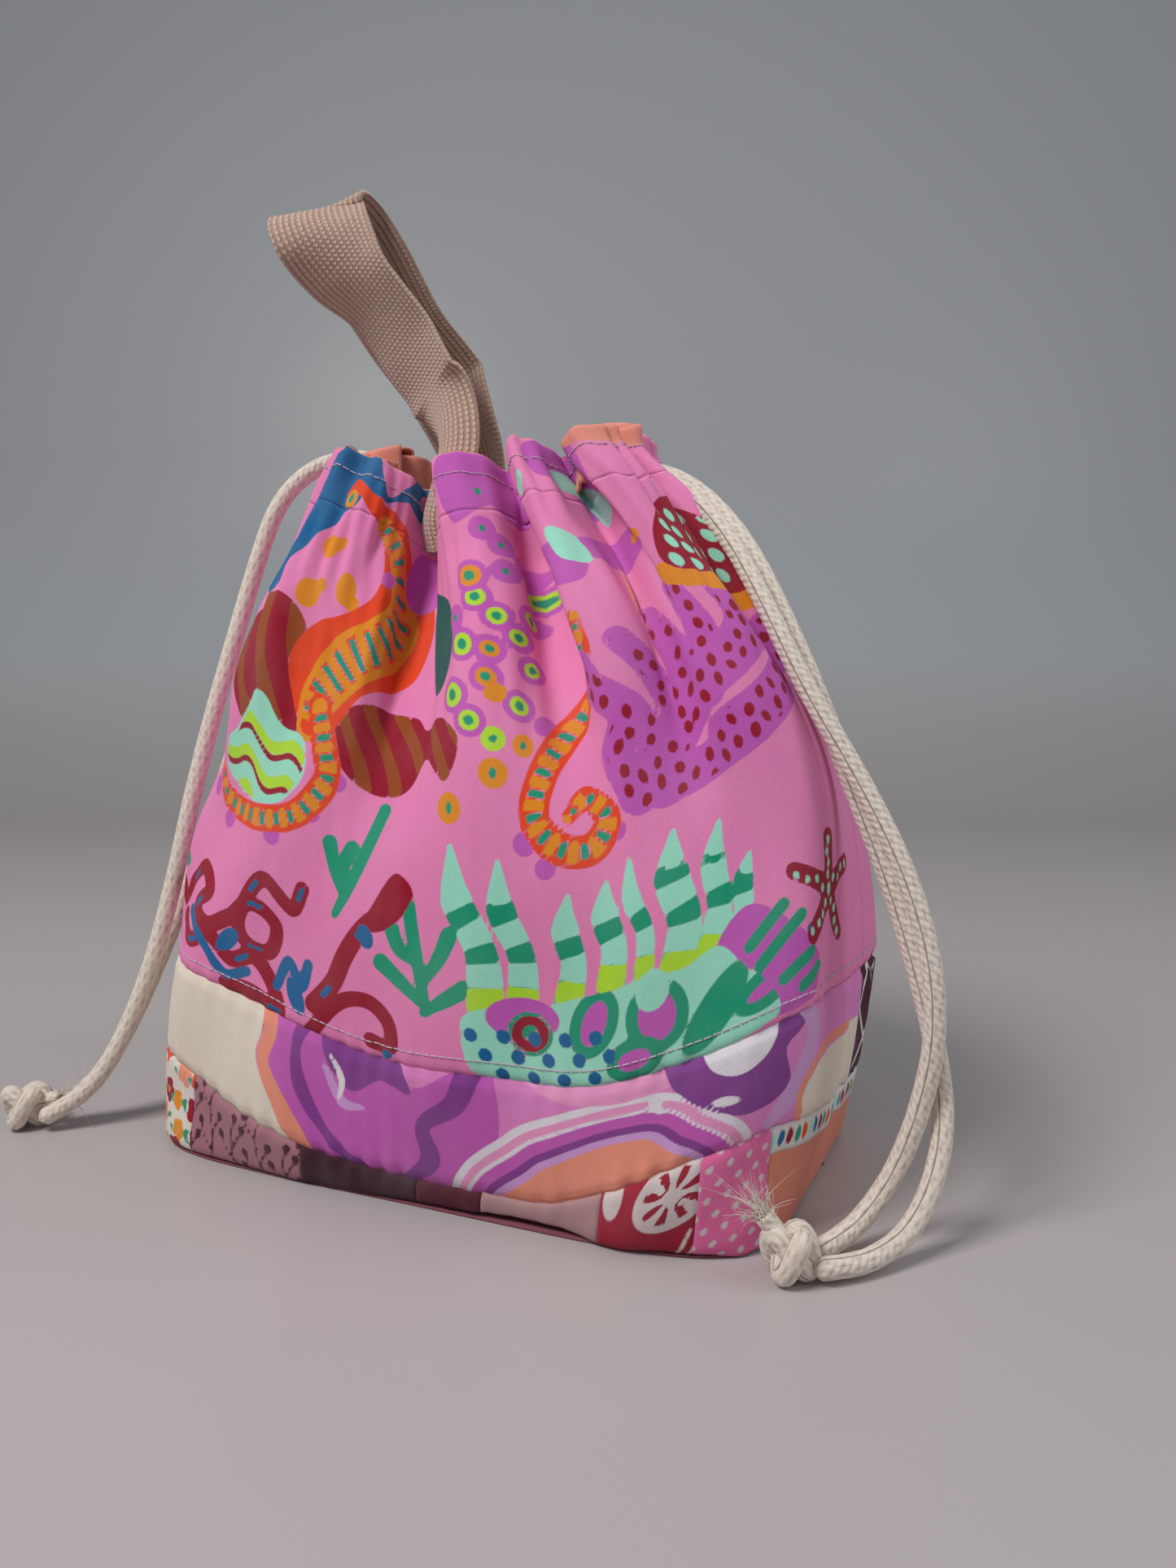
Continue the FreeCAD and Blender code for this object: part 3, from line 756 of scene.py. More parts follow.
def ring_dots(cloth, places):
    """Rings with an orchid halo, a lime or ochre disc and a teal heart."""
    for x, y, size, disc in places:
        cloth.ink("orchid", cloth.spot(x, y, size + 1.7, (size + 1.7) * 1.12, 24))
        if disc:
            cloth.ink(disc, cloth.spot(x, y, size, size * 1.15, 24))
        cloth.ink("teal", cloth.spot(x, y, size * 0.42, size * 0.55, 24))


def coral(cloth, x, y, branches, seed, width=12.0):
    """Branching orchid coral with crimson seeds."""
    rng = np.random.default_rng(seed)
    shape = np.full(cloth.along.shape, FAR)
    for branch in branches:
        points = [(x + a, y + b) for a, b in branch]
        shape = np.minimum(shape, cloth.line(points, np.linspace(width, width * 0.72, len(points))))
    cloth.ink("orchid", shape)
    seeds = []
    reach = np.array([p for branch in branches for p in branch])
    for i, gx in enumerate(np.arange(reach[:, 0].min() - 6, reach[:, 0].max() + 6, 5.4)):
        for gy in np.arange(reach[:, 1].min() - 6, reach[:, 1].max() + 6, 6.6):
            place = (x + gx + rng.uniform(-0.9, 0.9), y + gy + 3.3 * (i % 2) + rng.uniform(-0.9, 0.9))
            seeds.append((*place, rng.uniform(1.4, 1.8), rng.uniform(2.0, 2.7), rng.uniform(-35, 35)))
    cloth.ink("crimson", np.maximum(cloth.spots(seeds), shape + 1.2))


def spikes(cloth, stems):
    """Tapered mint fingers with teal bands and a lime foot."""
    for foot, tip, width in [(a, b, 1.16 * w) for a, b, w in stems]:
        foot, tip = np.array(foot, float), np.array(tip, float)
        lean = np.array((tip[1] - foot[1], foot[0] - tip[0])) * 0.05
        points = [foot, foot * 0.66 + tip * 0.34 + lean, foot * 0.33 + tip * 0.67 - lean * 0.6, tip]
        shape, run = cloth.stroke(points, [width, width * 0.86, width * 0.95, width * 0.14])
        cloth.ink("mint", shape)
        cloth.ink("teal", np.maximum(cloth.bars(shape, run + 3.5, 12.0, 5.0, 0),
            run - 0.74 * np.hypot(*(tip - foot))))
        cloth.ink("lime", np.maximum(shape, run - 5.0))


def star(cloth, x, y, size, turn, seed):
    """A crimson five-armed star with mint dots."""
    rng = np.random.default_rng(seed)
    shape = np.full(cloth.along.shape, FAR)
    dots = [(x, y, 1.6, 1.9)]
    for arm in range(5):
        angle = math.radians(turn + 72 * arm + rng.uniform(-8, 8))
        reach = size * rng.uniform(0.85, 1.1)
        ahead = np.array((math.cos(angle), math.sin(angle)))
        points = [np.array((x, y)) + ahead * reach * share for share in (0, 0.5, 1)]
        shape = np.minimum(shape, cloth.line(points, [7.5, 6.0, 5.2]))
        for share in (0.28, 0.5, 0.72, 0.95):
            side = np.array((-ahead[1], ahead[0])) * rng.uniform(-1.2, 1.2)
            dots.append((*(np.array((x, y)) + ahead * reach * share + side), 0.95, 1.25))
    cloth.ink("crimson", shape)
    cloth.ink("mint", np.maximum(cloth.spots(dots), shape + 0.7))


def sprig(cloth, stem, leaves):
    shape = cloth.line(stem, [2.6] + [4.2] * (len(stem) - 2) + [4.4])
    for leaf in leaves:
        shape = np.minimum(shape, cloth.line(leaf, [2.4, 4.4, 5.2]))
    cloth.ink("teal", shape)


def scroll(cloth, points, width, tint="crimson", accent="blue"):
    shape, run = cloth.stroke(points, width)
    cloth.ink(tint, shape)
    if accent:
        cloth.ink(accent, np.maximum(shape + width * 0.3, abs((run % 26) - 13) - 3.0))


def front_print(cloth):
    cloth.fill("blue", [(-3, 263), (-2, 249), (-14, 251), (-21, 253), (-31, 250), (-41, 248),
        (-52, 238), (-62, 222), (-72, 204), (-84, 214), (-76, 240), (-66, 263)])
    cloth.fill(None, [(-36, 256), (-30, 252), (-24, 257), (-18, 264), (-40, 266)])
    cloth.ink(None, cloth.spot(-9, 257, 3.2, 3.4))
    striped_fan(cloth, [(-60, 205), (-52, 196), (-47, 178), (-44, 163), (-58, 156), (-76, 162),
        (-84, 186), (-72, 204)], 0.25)
    striped_fan(cloth, [(-34, 170), (-20, 178), (-4, 176), (2, 170), (12, 173), (21, 165), (14, 152),
        (4, 160), (-4, 150), (-18, 149), (-30, 156)], 0.35, 12.0)
    cloth.fill("orange", [(-54, 247), (-48, 249), (-38, 243), (-30, 238), (-25, 226), (-27, 214),
        (-37, 206), (-50, 199), (-57, 186), (-53, 170), (-42, 160), (-34, 166), (-24, 180), (-6, 190),
        (0, 208), (-4, 226), (-14, 240), (-26, 247), (-40, 250), (-50, 254)])
    plume(cloth, [(-30, 242), (-19, 232), (-12, 214), (-19, 200), (-32, 190), (-42, 176), (-44, 166)],
          [6, 11, 14, 19, 21, 17, 12], edge="ochre")
    cloth.ink("ochre", cloth.spot(-50, 246, 3.4, 3.8))
    cloth.ink("teal", cloth.spot(-50, 246, 1.3, 2.0))
    cloth.dab("orchid", [(-22, 222, 3), (-92, 133, 3.6), (-78, 124, 3.4), (-52, 126, 3.6),
        (-38, 138, 3.6), (-30, 150, 3.2), (38, 134, 3.4), (44, 127, 3.0), (65, 134, 3.0),
        (46, 168, 3.2)])
    plume(cloth, [(-41, 172), (-36, 160), (-34, 149), (-44, 135), (-62, 129), (-80, 131), (-88, 141)],
        [10, 10, 9, 9, 9, 8, 5])
    cloth.dab("ochre", [(-51, 227, 3.6, 4.6, 20), (-47, 229, 2.0, 3.0, -40), (-54, 209, 4.2, 5.2, -20),
        (-50, 213, 2.2, 2.6, 40), (-39, 214, 4.6, 5.6, 10), (-35, 210, 3.0, 2.4, 30)])
    disc = cloth.area([(-84, 148), (-74, 160), (-66, 172), (-56, 162), (-46, 161), (-42, 150),
        (-50, 138), (-64, 134), (-78, 138)])
    cloth.ink("mint", disc)
    wave = cloth.up + 2.6 * np.sin(cloth.along / 3.4) + 0.25 * cloth.along
    for level, tint in ((134, "lime"), (146, "lime"), (158, "lime"), (131, "crimson"), (143, "crimson"),
            (154.5, "crimson")):
        cloth.ink(tint, np.maximum(disc + 0.8, abs(wave - level + 16) - (2.2 if tint == "lime"
            else 1.2)))
    cloth.fill("deep_teal", [(1, 222), (8, 219), (16, 214), (20, 200), (14, 186), (6, 182), (2, 196)])
    cloth.fill("orchid", [(-6, 240), (2, 232), (4, 222), (-4, 218), (-10, 228)])
    cloth.fill("orchid", [(26, 264), (52, 264), (52, 243), (44, 240), (38, 244), (26, 238), (22, 250)])
    ring_dots(cloth, [(31, 210, 3.0, "lime"), (25, 195, 3.6, "lime"), (36, 203, 2.8, "lime"),
        (41, 196, 2.6, "lime"), (33, 192, 2.6, "ochre"), (31, 183, 2.8, "ochre"),
        (39, 174, 2.8, "lime"), (25, 170, 3.0, "lime"), (20, 179, 3.8, "lime"), (46, 204, 2.6, "lime"),
        (44, 186, 2.4, "lime"), (50, 214, 3.0, "lime"), (30, 218, 3.6, "ochre"), (40, 219, 2.2, None),
        (35, 235, 2.4, None), (40, 229, 2.2, None), (35, 249, 2.6, None), (47, 223, 2.4, None),
        (22, 205, 2.6, None)])
    cloth.dab("lime", [(31, 164, 3.2, 3.6)])
    cloth.dab("ochre", [(39, 162, 3.0, 3.4), (30, 154, 4.0, 4.4), (15, 144, 4.2, 4.6), (33, 178, 3.0)])
    cloth.dab("teal", [(31, 164, 1.1), (39, 162, 0.9, 1.2), (30, 154, 1.0, 1.6), (15, 144, 1.0, 1.8)])
    plume(cloth, [(69, 196), (66, 184), (59, 174), (51, 164), (44, 153), (41, 141), (48, 132),
        (58, 131), (63, 138), (57, 145), (51, 140)], [4, 8, 9, 9, 9, 9, 9, 9, 8, 7, 4])
    coral(cloth, 0, 0, [
        [(73, 142), (86, 152), (102, 164), (120, 174), (138, 184)],
        [(84, 150), (76, 164), (67, 174), (65, 182)],
        [(92, 158), (86, 174), (78, 186)], [(96, 160), (97, 178), (92, 194)],
        [(102, 164), (108, 182), (105, 198)],
        [(110, 170), (122, 184), (119, 198)], [(126, 178), (136, 188), (136, 198)],
        [(80, 142), (104, 146), (124, 156), (144, 168)], [(104, 150), (126, 162), (148, 180)],
        [(72, 146), (69, 154), (72, 160)]], seed=5)
    reef = cloth.area([(108, 207), (114, 226), (128, 234), (144, 226), (158, 212), (160, 200),
        (146, 192), (128, 200)])
    cloth.brush("ochre", [(106, 204), (124, 198), (144, 190), (162, 196)], 8)
    cloth.ink("crimson", reef)
    ovals = [(112 + 8 * i + 2 * j, 208 + 7 * j - 2.2 * i, 1.8, 2.7,
        20) for i in range(6) for j in range(4)]
    cloth.ink("mint", np.maximum(cloth.spots(ovals), reef + 0.8))
    cloth.fill("orchid", [(60, 236), (60, 226), (70, 222), (84, 226), (98, 224), (104, 217), (92, 213),
        (80, 216), (74, 207), (66, 208), (66, 216), (56, 222)])
    cloth.fill("mint", [(69, 227), (77, 225), (79, 215), (71, 215)])
    cloth.ink("ochre", cloth.spot(101, 220, 4.2, 2.2, 10))
    cloth.fill("orchid", [(74, 262), (100, 262), (102, 246), (90, 236), (82, 246), (74, 250)])
    cloth.fill("mint", [(80, 254), (92, 250), (98, 238), (92, 232), (88, 242), (80, 247)])
    cloth.dab("mint", [(60, 240, 1.8, 4, 20), (66, 247, 1.8, 4, -30)])
    sprig(cloth, [(-25, 108), (-20, 120), (-12, 144)],
        [[(-22, 114), (-27, 122), (-30, 130)], [(-20, 120), (-24, 123), (-22, 130)]])
    sprig(cloth, [(9, 84), (5, 100), (1, 118)],
          [[(8, 86), (0, 92), (-7, 97)], [(7, 92), (12, 100), (15, 107)], [(8, 84), (14, 88), (20, 92)],
          [(5, 98), (-1, 102), (-4, 108)]])
    scroll(cloth, [(-118, 86), (-110, 95), (-100, 88), (-94, 97), (-86, 104), (-78, 98), (-84, 91),
        (-76, 86), (-66, 92)], 5.6)
    scroll(cloth, [(-66, 92), (-58, 100), (-48, 96), (-50, 86), (-59, 86), (-62, 94), (-54, 110),
        (-42, 104), (-38, 112)], 5.0)
    scroll(cloth, [(-94, 84), (-84, 78), (-74, 83), (-64, 78), (-56, 82), (-48, 76), (-44, 68),
        (-56, 70), (-66, 68)], 5.4)
    cloth.brush("blue", [(-88, 88), (-76, 79), (-66, 72), (-58, 76)], 3.4)
    scroll(cloth, [(-46, 76), (-42, 86), (-36, 80), (-34, 88)], 3.6, tint="blue", accent=None)
    scroll(cloth, [(-5, 114), (-14, 106), (-20, 96), (-24, 86), (-31, 76)], 6.0)
    cloth.fill("crimson", [(-4, 124), (3, 118), (-4, 108), (-14, 106), (-10, 116)])
    cloth.dab("blue", [(-13, 104, 2.6, 4, 30), (-38, 76, 3, 6, 30), (-66, 84, 3, 6, -40)])
    scroll(cloth, [(-32, 66), (-22, 80), (-12, 84), (-4, 79), (-3, 71), (-10, 72)], 4.6, accent=None)
    cloth.dab("blue", [(-4, 69, 2.0, 1.6)])
    cloth.dab("teal", [(-108, 101, 5, 3.6), (-110, 95, 4, 3)])
    spikes(cloth, [((26, 88), (15, 133), 9), ((36, 89), (30, 129), 7.5), ((49, 91), (50, 119), 7),
        ((61, 94), (61, 121), 7), ((70, 94), (68, 126), 4.5), ((79, 92), (81, 129), 9),
        ((87, 93), (95, 127), 7), ((94, 94), (103, 115), 5.5)])
    cloth.fill("orchid", [(88, 92), (99, 101), (112, 92), (121, 80), (116, 70), (100, 70), (92, 82)])
    body = cloth.area([(19, 82), (26, 87), (38, 88), (50, 91), (60, 92), (71, 93), (80, 92), (90, 94),
        (96, 86), (102, 78), (104, 70), (92, 66), (84, 60), (40, 60), (24, 66)])
    cloth.ink("mint", body)
    for x, y, wide, high, turn in ((56, 84, 6.6, 9.5, -20), (73, 82, 8, 10, 10), (67, 72, 7.5, 6, 0),
            (88, 78, 5, 12, -40), (101, 78, 9, 5, 20)):
        cloth.ink("teal", np.maximum(cloth.spot(x, y, wide, high, turn), body))
        cloth.ink("orchid", np.maximum(cloth.spot(x, y, wide - 3, high - 3, turn), body))
    cloth.ink("mint", cloth.spot(72, 89, 4.5, 5.5))
    cloth.ink("teal", cloth.spot(88, 78, 2.6, 10, -40))
    cloth.ink("orchid", cloth.spot(36, 85, 10, 6, 0))
    for size, tint in ((6.2, "teal"), (5.2, "crimson"), (2.4, "teal")):
        cloth.ink(tint, cloth.spot(38, 81, size))
    for a, b in (((98, 90), (110, 98)), ((100, 84), (115, 94)), ((106, 78), (117, 83)),
            ((112, 74), (120, 78))):
        cloth.brush("teal", [a, b], 3.2)
    cloth.ink("blue", cloth.spot(118, 88, 2.4, 2.8))
    dots = [(22 + 8.6 * i + 4 * (j % 2), 79 - 5.6 * j + 0.3 * i, 1.9, 2.4,
        30) for i in range(6) for j in range(3)]
    cloth.ink("blue", np.maximum(cloth.spots(dots), np.maximum(body + 0.8, cloth.along - 62)))
    star(cloth, 131, 98, 17, 10, 4)
    cloth.fill("peach", [(100, 266), (104, 258), (124, 257), (150, 256), (166, 254), (166, 268)])
    cloth.ink("peach", 263.6 - cloth.up)


def back_print(cloth):
    coral(cloth, -118, 60, [[(0, 18), (14, 40), (20, 66)], [(8, 28), (-6, 50), (-10, 70)], [(14, 36),
        (34, 52), (40, 70)]], 9)
    plume(cloth, [(-60, 246), (-48, 236), (-44, 220), (-54, 204), (-66, 190), (-70, 172), (-58, 160),
        (-46, 166), (-50, 176)],
          [5, 9, 12, 14, 13, 11, 10, 9, 5])
    spikes(cloth, [((-52 + 12 * k, 92 + (k % 2) * 3), (-58 + 14 * k, 128 + 6 * (k % 3)),
        7.5) for k in range(7)])
    body = cloth.area([(-64, 84), (-40, 96), (0, 94), (36, 92), (44, 80), (30, 68), (-30, 66),
        (-58, 72)])
    cloth.ink("mint", body)
    cloth.ink("blue", np.maximum(cloth.spots([(-56 + 9 * i, 74 + 7 * j, 1.9,
        2.4) for i in range(10) for j in range(3)]), body + 1))
    striped_fan(cloth, [(-24, 196), (-4, 206), (16, 198), (20, 180), (6, 168), (-16, 170), (-28, 182)],
        0.3)
    ring_dots(cloth, [(34 + 13 * (i % 3) + 4 * (i // 3), 214 - 14 * (i // 3), 2.8 + (i % 2),
        ("lime", "ochre")[i % 2]) for i in range(12)])
    star(cloth, 96, 186, 18, 30, 6)
    star(cloth, -120, 196, 15, 0, 7)
    scroll(cloth, [(66, 84), (80, 98), (94, 92), (96, 78), (84, 74), (80, 84)], 5.0)
    scroll(cloth, [(112, 100), (122, 116), (138, 112), (140, 98), (128, 94)], 5.0)
    sprig(cloth, [(60, 120), (66, 138), (70, 156)],
        [[(62, 126), (54, 134), (50, 142)], [(66, 136), (74, 142), (80, 146)]])
    cloth.fill("blue", [(60, 264), (64, 246), (90, 240), (120, 246), (130, 264)])
    cloth.fill("orchid", [(-110, 262), (-104, 240), (-86, 236), (-78, 250), (-84, 264)])
    cloth.dab("mint", [(-96, 250, 5, 3, 30), (-6, 238, 6, 3.4, -20), (12, 232, 4, 3)])
    cloth.ink("peach", 263.6 - cloth.up)
    cloth.dab("ochre", [(130, 150, 5, 6), (118, 140, 4, 5), (140, 136, 4, 5),
        (-140, 150, 5, 6), (-150, 132, 4, 5)])


WEAVE, WEAVE_RELIEF = 0.62, 0.00012  # mm between threads, metres of relief


def woven(loom, tint, along, up):
    """The plain weave over a printed colour: faint thread shading, slight fading and relief."""
    warp = (along * (2 * math.pi / WEAVE)).sine()
    weft = (up * (2 * math.pi / WEAVE)).sine()
    weave = warp * weft
    place = loom.place()
    wear = loom.noise(place, 45.0, 4.0)
    cloudy = loom.noise(place, 420.0, 2.0)
    tint = loom.mix((weave * 0.05 + 0.05).clamp(), tint, dye(60, 30, 50))
    tint = loom.mix((wear * 0.12 - 0.04).clamp(), tint, dye(250, 236, 240))
    loom.colour(tint)
    loom.relief(weave * 0.5 + cloudy * 0.9 + wear * 3.0, WEAVE_RELIEF)


def layers_of(cloth, colours):
    return [("ink_" + ink, colours[ink]) for ink in sorted(cloth.inks)]


def printed(name, ground, layers):
    """A cotton finish that lays each ink of a print over its ground."""
    loom = Loom(name)
    along, up = loom.along_up()
    tint = ground
    for attribute, ink in layers:
        mask = ((0.12 - loom.attribute(attribute)) * 2.6 + 0.5).clamp()
        tint = loom.mix(mask, tint, ink)
    woven(loom, tint, along, up)
    return loom.material


def plain(name, tint, second):
    """A cotton with only a slight unevenness in its dye."""
    loom = Loom(name)
    along, up = loom.along_up()
    place = loom.place()
    woven(loom, loom.mix(loom.noise(place, 40.0), tint, second), along, up)
    return loom.material


# Cloth pieces -------------------------------------------------------------------------------------
# Each piece is cut from the hanging shape along its own seams and keeps the cloth's two measures as
# its map. Cotton with its wadding is a little over a millimetre thick.
THICK = 1.1


def cut(name, patches, thick=THICK, prints=None):
    """A piece of cloth from one or more rectangles of grid points: (points, along, up, rows, columns)."""
    vertices, faces, maps, fields = [], [], [], {}
    for points, along, up, rows, columns in patches:
        block = points[rows, columns]
        first = len(vertices)
        vertices += list(block.reshape(-1, 3) * MM)
        grid = np.meshgrid(along[columns], up[rows])
        maps += list(np.stack(grid, axis=-1).reshape(-1, 2) * MM)
        faces += grid_faces(*block.shape[:2], first)
        if prints:
            for ink, field in prints.inks.items():
                fields.setdefault(ink, []).append(field[rows, columns].ravel())
    piece = object_from(name, vertices, faces)
    give_map(piece, maps)
    for ink, blocks in fields.items():
        give_field(piece, "ink_" + ink, np.concatenate(blocks))
    thicken(piece, thick * MM, -1.0)
    return piece


def thicken(piece, thick, offset):
    shell = piece.modifiers.new("thickness", "SOLIDIFY")
    shell.thickness, shell.offset = thick, offset
    settle(piece)


def settle(piece):
    """Turns a piece with its modifiers into a plain mesh."""
    bpy.context.view_layer.update()
    done = bpy.data.meshes.new_from_object(piece.evaluated_get(bpy.context.evaluated_depsgraph_get()))
    piece.modifiers.clear()
    old = piece.data
    piece.data = done
    bpy.data.meshes.remove(old)


def finish(piece, material, slot, node, flat):
    piece.data.materials.append(material)
    dress(piece, [node])
    flat[0] * MM
    flat[1] * MM


def row_at(height):
    return int(round(height / CLOTH_TOP * (len(up) - 1)))


seam_low_row, seam_high_row = row_at(SEAM_LOW), row_at(SEAM_HIGH)
channel_row = row_at(CHANNEL_LOW)
everything = slice(None)

# The channel: the top of the panel folded over to the inside, with a stitched line under the cords.
FOLD_ROWS, FOLD_WIDTH, FOLD_DOWN = 7, 6.0, 15.0


def fold_over(points, up):
    """Adds the rows of cloth that turn over the top edge and come down inside."""
    inward = -normals_of(points)[-1]
    inward[:, 2] = 0
    inward = inward / np.maximum(np.linalg.norm(inward, axis=1, keepdims=True), 1e-6)
    for _ in range(12):
        inward[1:-1] = (inward[:-2] + inward[1:-1] + inward[2:]) / 3
    top = points[-1]
    rows, heights = [], []
    for k in range(1, FOLD_ROWS + 1):
        turn = math.pi * k / FOLD_ROWS
        rows.append(top + inward * FOLD_WIDTH / 2 * (1 - math.cos(turn)) + np.array((0, 0,
            1.6 * math.sin(turn))))
        heights.append(up[-1] + FOLD_WIDTH * k / FOLD_ROWS)
    for k in range(1, 13):
        rows.append(rows[FOLD_ROWS - 1] - np.array((0, 0, FOLD_DOWN * k / 12)))
        heights.append(up[-1] + FOLD_WIDTH + FOLD_DOWN * k / 12)
    return np.concatenate([points, np.array(rows)]), np.append(up, heights)


for side, draw in (("front", front_print), ("back", back_print)):
    points, tall_up = fold_over(halves[side], up)
    cloth = Print(along, np.minimum(tall_up, CLOTH_TOP + 3))
    draw(cloth)
    material = printed("printed_cotton_" + side, dye(243, 138, 192), layers_of(cloth, inks))
    panel = cut(side + "_panel_cloth", [(points, along, tall_up, slice(seam_high_row, channel_row + 1),
        everything)], prints=cloth)
    finish(panel, material, "printed_cotton", side + "_panel",
        (2 * CLOTH_HALF, CHANNEL_LOW - SEAM_HIGH))
    rim = cut(side + "_channel_cloth", [(points, along, tall_up, slice(channel_row, None), everything)],
        0.8, cloth)
    finish(rim, material, "printed_cotton", side + "_channel",
        (2 * CLOTH_HALF, CLOTH_TOP - CHANNEL_LOW + FOLD_WIDTH + FOLD_DOWN))

# Patchwork and bands ------------------------------------------------------------------------------
# Under the panel runs a band of pink marbled cotton, and under that a row of patches in plain and
# printed cottons, joined end to end. The band at the back is dark maroon with a white lattice.


def marbled_print(cloth):
    cloth.fill("orchid", [(-48, 70), (-12, 70), (4, 60), (16, 66), (26, 70), (30, 50),
        (22, 36), (4, 28), (-40, 28)])
    cloth.fill("cream", [(-170, 24), (-170, 72), (-54, 72), (-49, 62), (-51, 52), (-44, 42),
        (-38, 34), (-42, 24)])
    cloth.brush("peach", [(-51, 72), (-46, 62), (-48, 52), (-41, 42), (-34, 33), (-32, 24)],
        [4, 5, 4, 6, 7, 6])
    cloth.brush("purple", [(-33, 72), (-36, 60), (-34, 50), (-26, 40), (-16, 33), (-4, 30)],
        [6, 3, 5, 3, 4, 2])
    cloth.fill("purple", [(-28, 68), (-24, 58), (-16, 54), (-6, 60), (4, 58), (0, 66),
        (-9, 70), (-22, 72)])
    cloth.brush("lilac", [(-26, 58), (-20, 50), (-12, 50)], [2, 4, 1.5])
    cloth.brush("purple", [(22, 72), (18, 58), (8, 50), (10, 40), (2, 32)], [8, 6, 4, 6, 3])
    cloth.brush("white", [(-24, 62), (-20, 56), (-21, 50)], [1.0, 2.4, 0.8])
    for grow, tint in ((13.5, "white"), (11.5, "light"), (9.0, "white"), (8.0, "orchid"),
            (4.5, "purple"), (2.5, "lilac"), (0, "peach")):
        cloth.ink(tint, cloth.area([(30, 28), (40, 40), (46, 44), (58, 47), (70, 46), (76, 40),
            (84, 28), (60, 20)], 20) - grow)
    cloth.fill("light", [(34, 72), (46, 62), (76, 60), (84, 72)])
    cloth.fill("purple", [(78, 74), (76, 62), (84, 50), (96, 42), (108, 46), (106, 58),
        (114, 64), (112, 74)])
    cloth.fill("white", [(86, 74), (86, 62), (93, 56), (101, 60), (104, 74)])
    cloth.dab("white", [(90, 49, 3.4, 1.4, -20), (73, 55, 1.2, 3.0, 30)])
    cloth.brush("lilac", [(110, 74), (118, 60), (112, 46), (104, 36)], [6, 8, 8, 6])
    cloth.fill("cream", [(120, 28), (116, 42), (128, 50), (150, 52), (170, 50), (170, 24)])
    cloth.brush("peach", [(118, 26), (114, 42), (126, 52), (150, 54)], 2.4)


def lattice_print(cloth):
    rise = (cloth.up - 33) * 1.0
    first = abs(((cloth.along + rise) % 22) - 11) - 0.9
    second = abs(((cloth.along - rise) % 22) - 11) - 0.9
    cloth.ink("white", np.minimum(first, second))
    cloth.dab("purple", [(11 + 22 * k - 176, 44, 2.2, 2.2) for k in range(17)])


band_inks = {
    "cream": dye(238, 226, 208), "peach": dye(246, 152, 126), "orchid": dye(206, 96, 190),
    "purple": dye(140, 64, 150),
    "light": dye(244, 160, 206), "white": dye(240, 232, 240), "lilac": dye(216, 162, 220),
}
for side, draw, ground in (("front", marbled_print, dye(232, 138, 204)),
        ("back", lattice_print, dye(70, 18, 36))):
    cloth = Print(along, up)
    draw(cloth)
    material = printed(side + "_band_cotton", ground, layers_of(cloth, band_inks))
    rows = slice(seam_low_row, seam_high_row + 1)
    band = cut(side + "_band_cloth", [(halves[side], along, up, rows, everything)], prints=cloth)
    finish(band, material, "marbled_cotton" if side == "front" else "lattice_cotton", side + "_band",
           (2 * CLOTH_HALF, SEAM_HIGH - SEAM_LOW))


def floral_print(cloth):
    rng = np.random.default_rng(12)
    for x in np.arange(-164, 164, 11.0):
        for y in np.arange(3, 34, 10.0):
            a, b, size = x + rng.uniform(-2.5, 2.5), y + rng.uniform(-2.5, 2.5), rng.uniform(2.0, 3.2)
            petals = [(a + size * math.cos(k * 1.257), b + size * math.sin(k * 1.257),
                size * 0.62) for k in range(5)]
            cloth.dab(("orange", "crimson", "ochre", "peach")[rng.integers(4)], petals)
            cloth.ink("ochre", cloth.spot(a, b, size * 0.4))
            cloth.dab("teal", [(a + size * 2, b + 1, 1.6, 0.8, 30),
                (a - size * 2, b - 1, 1.5, 0.8, -30)])


def sprig_print(cloth):
    """Dark upright sprigs with a berry at the end of each twig."""
    for k, x in enumerate(np.arange(-160, 161, 10.0)):
        foot = 3 + 5 * (k % 2)
        stem = [(x, foot), (x + 1.5, foot + 9), (x - 0.5, foot + 18), (x + 1.5, foot + 27)]
        shape = cloth.line(stem, 0.7)
        berries = [(x + 1.5, foot + 27, 1.2)]
        for j in range(3):
            side = 4.6 * (-1) ** (j + k)
            twig = [(x + 0.8, foot + 5 + 6 * j), (x + side * 0.6, foot + 9 + 6 * j),
                (x + side, foot + 12 + 6 * j)]
            shape = np.minimum(shape, cloth.line(twig, 0.6))
            berries.append((x + side, foot + 12.6 + 6 * j, 1.2, 1.4))
        cloth.ink("sprig", np.minimum(shape, cloth.spots(berries)))


def dotted_print(cloth):
    dots = [(56 + 5.2 * i + 2.6 * (j % 2), 4.4 * j + 2, 1.0, 1.0) for i in range(10) for j in range(9)]
    cloth.dab("pale", dots)


def crimson_print(cloth):
    wheel = cloth.spot(79, 25, 9.5)
    cloth.ink("pale", wheel)
    angle = np.arctan2(cloth.up - 25, cloth.along - 79)
    cloth.ink("crimson", np.maximum(cloth.spot(79, 25, 7.6), np.cos(angle * 8) * 1.6))
    cloth.ink("pale", cloth.spot(79, 25, 2.0))
    cloth.ink("pale", cloth.spot(63.5, 31, 2.6, 6, 0))
    for k in range(4):
        cloth.brush("pale", [(80 + 3.4 * k, 2), (84 + 3.4 * k, 13)], 1.0)


def oval_print(cloth):
    for k, x in enumerate(np.arange(-163, 164, 3.4)):
        cloth.ink(("blue", "crimson", "teal", "orange", "mint")[k % 5],
            cloth.spot(x, 29.0, 1.1, 2.3, -12))


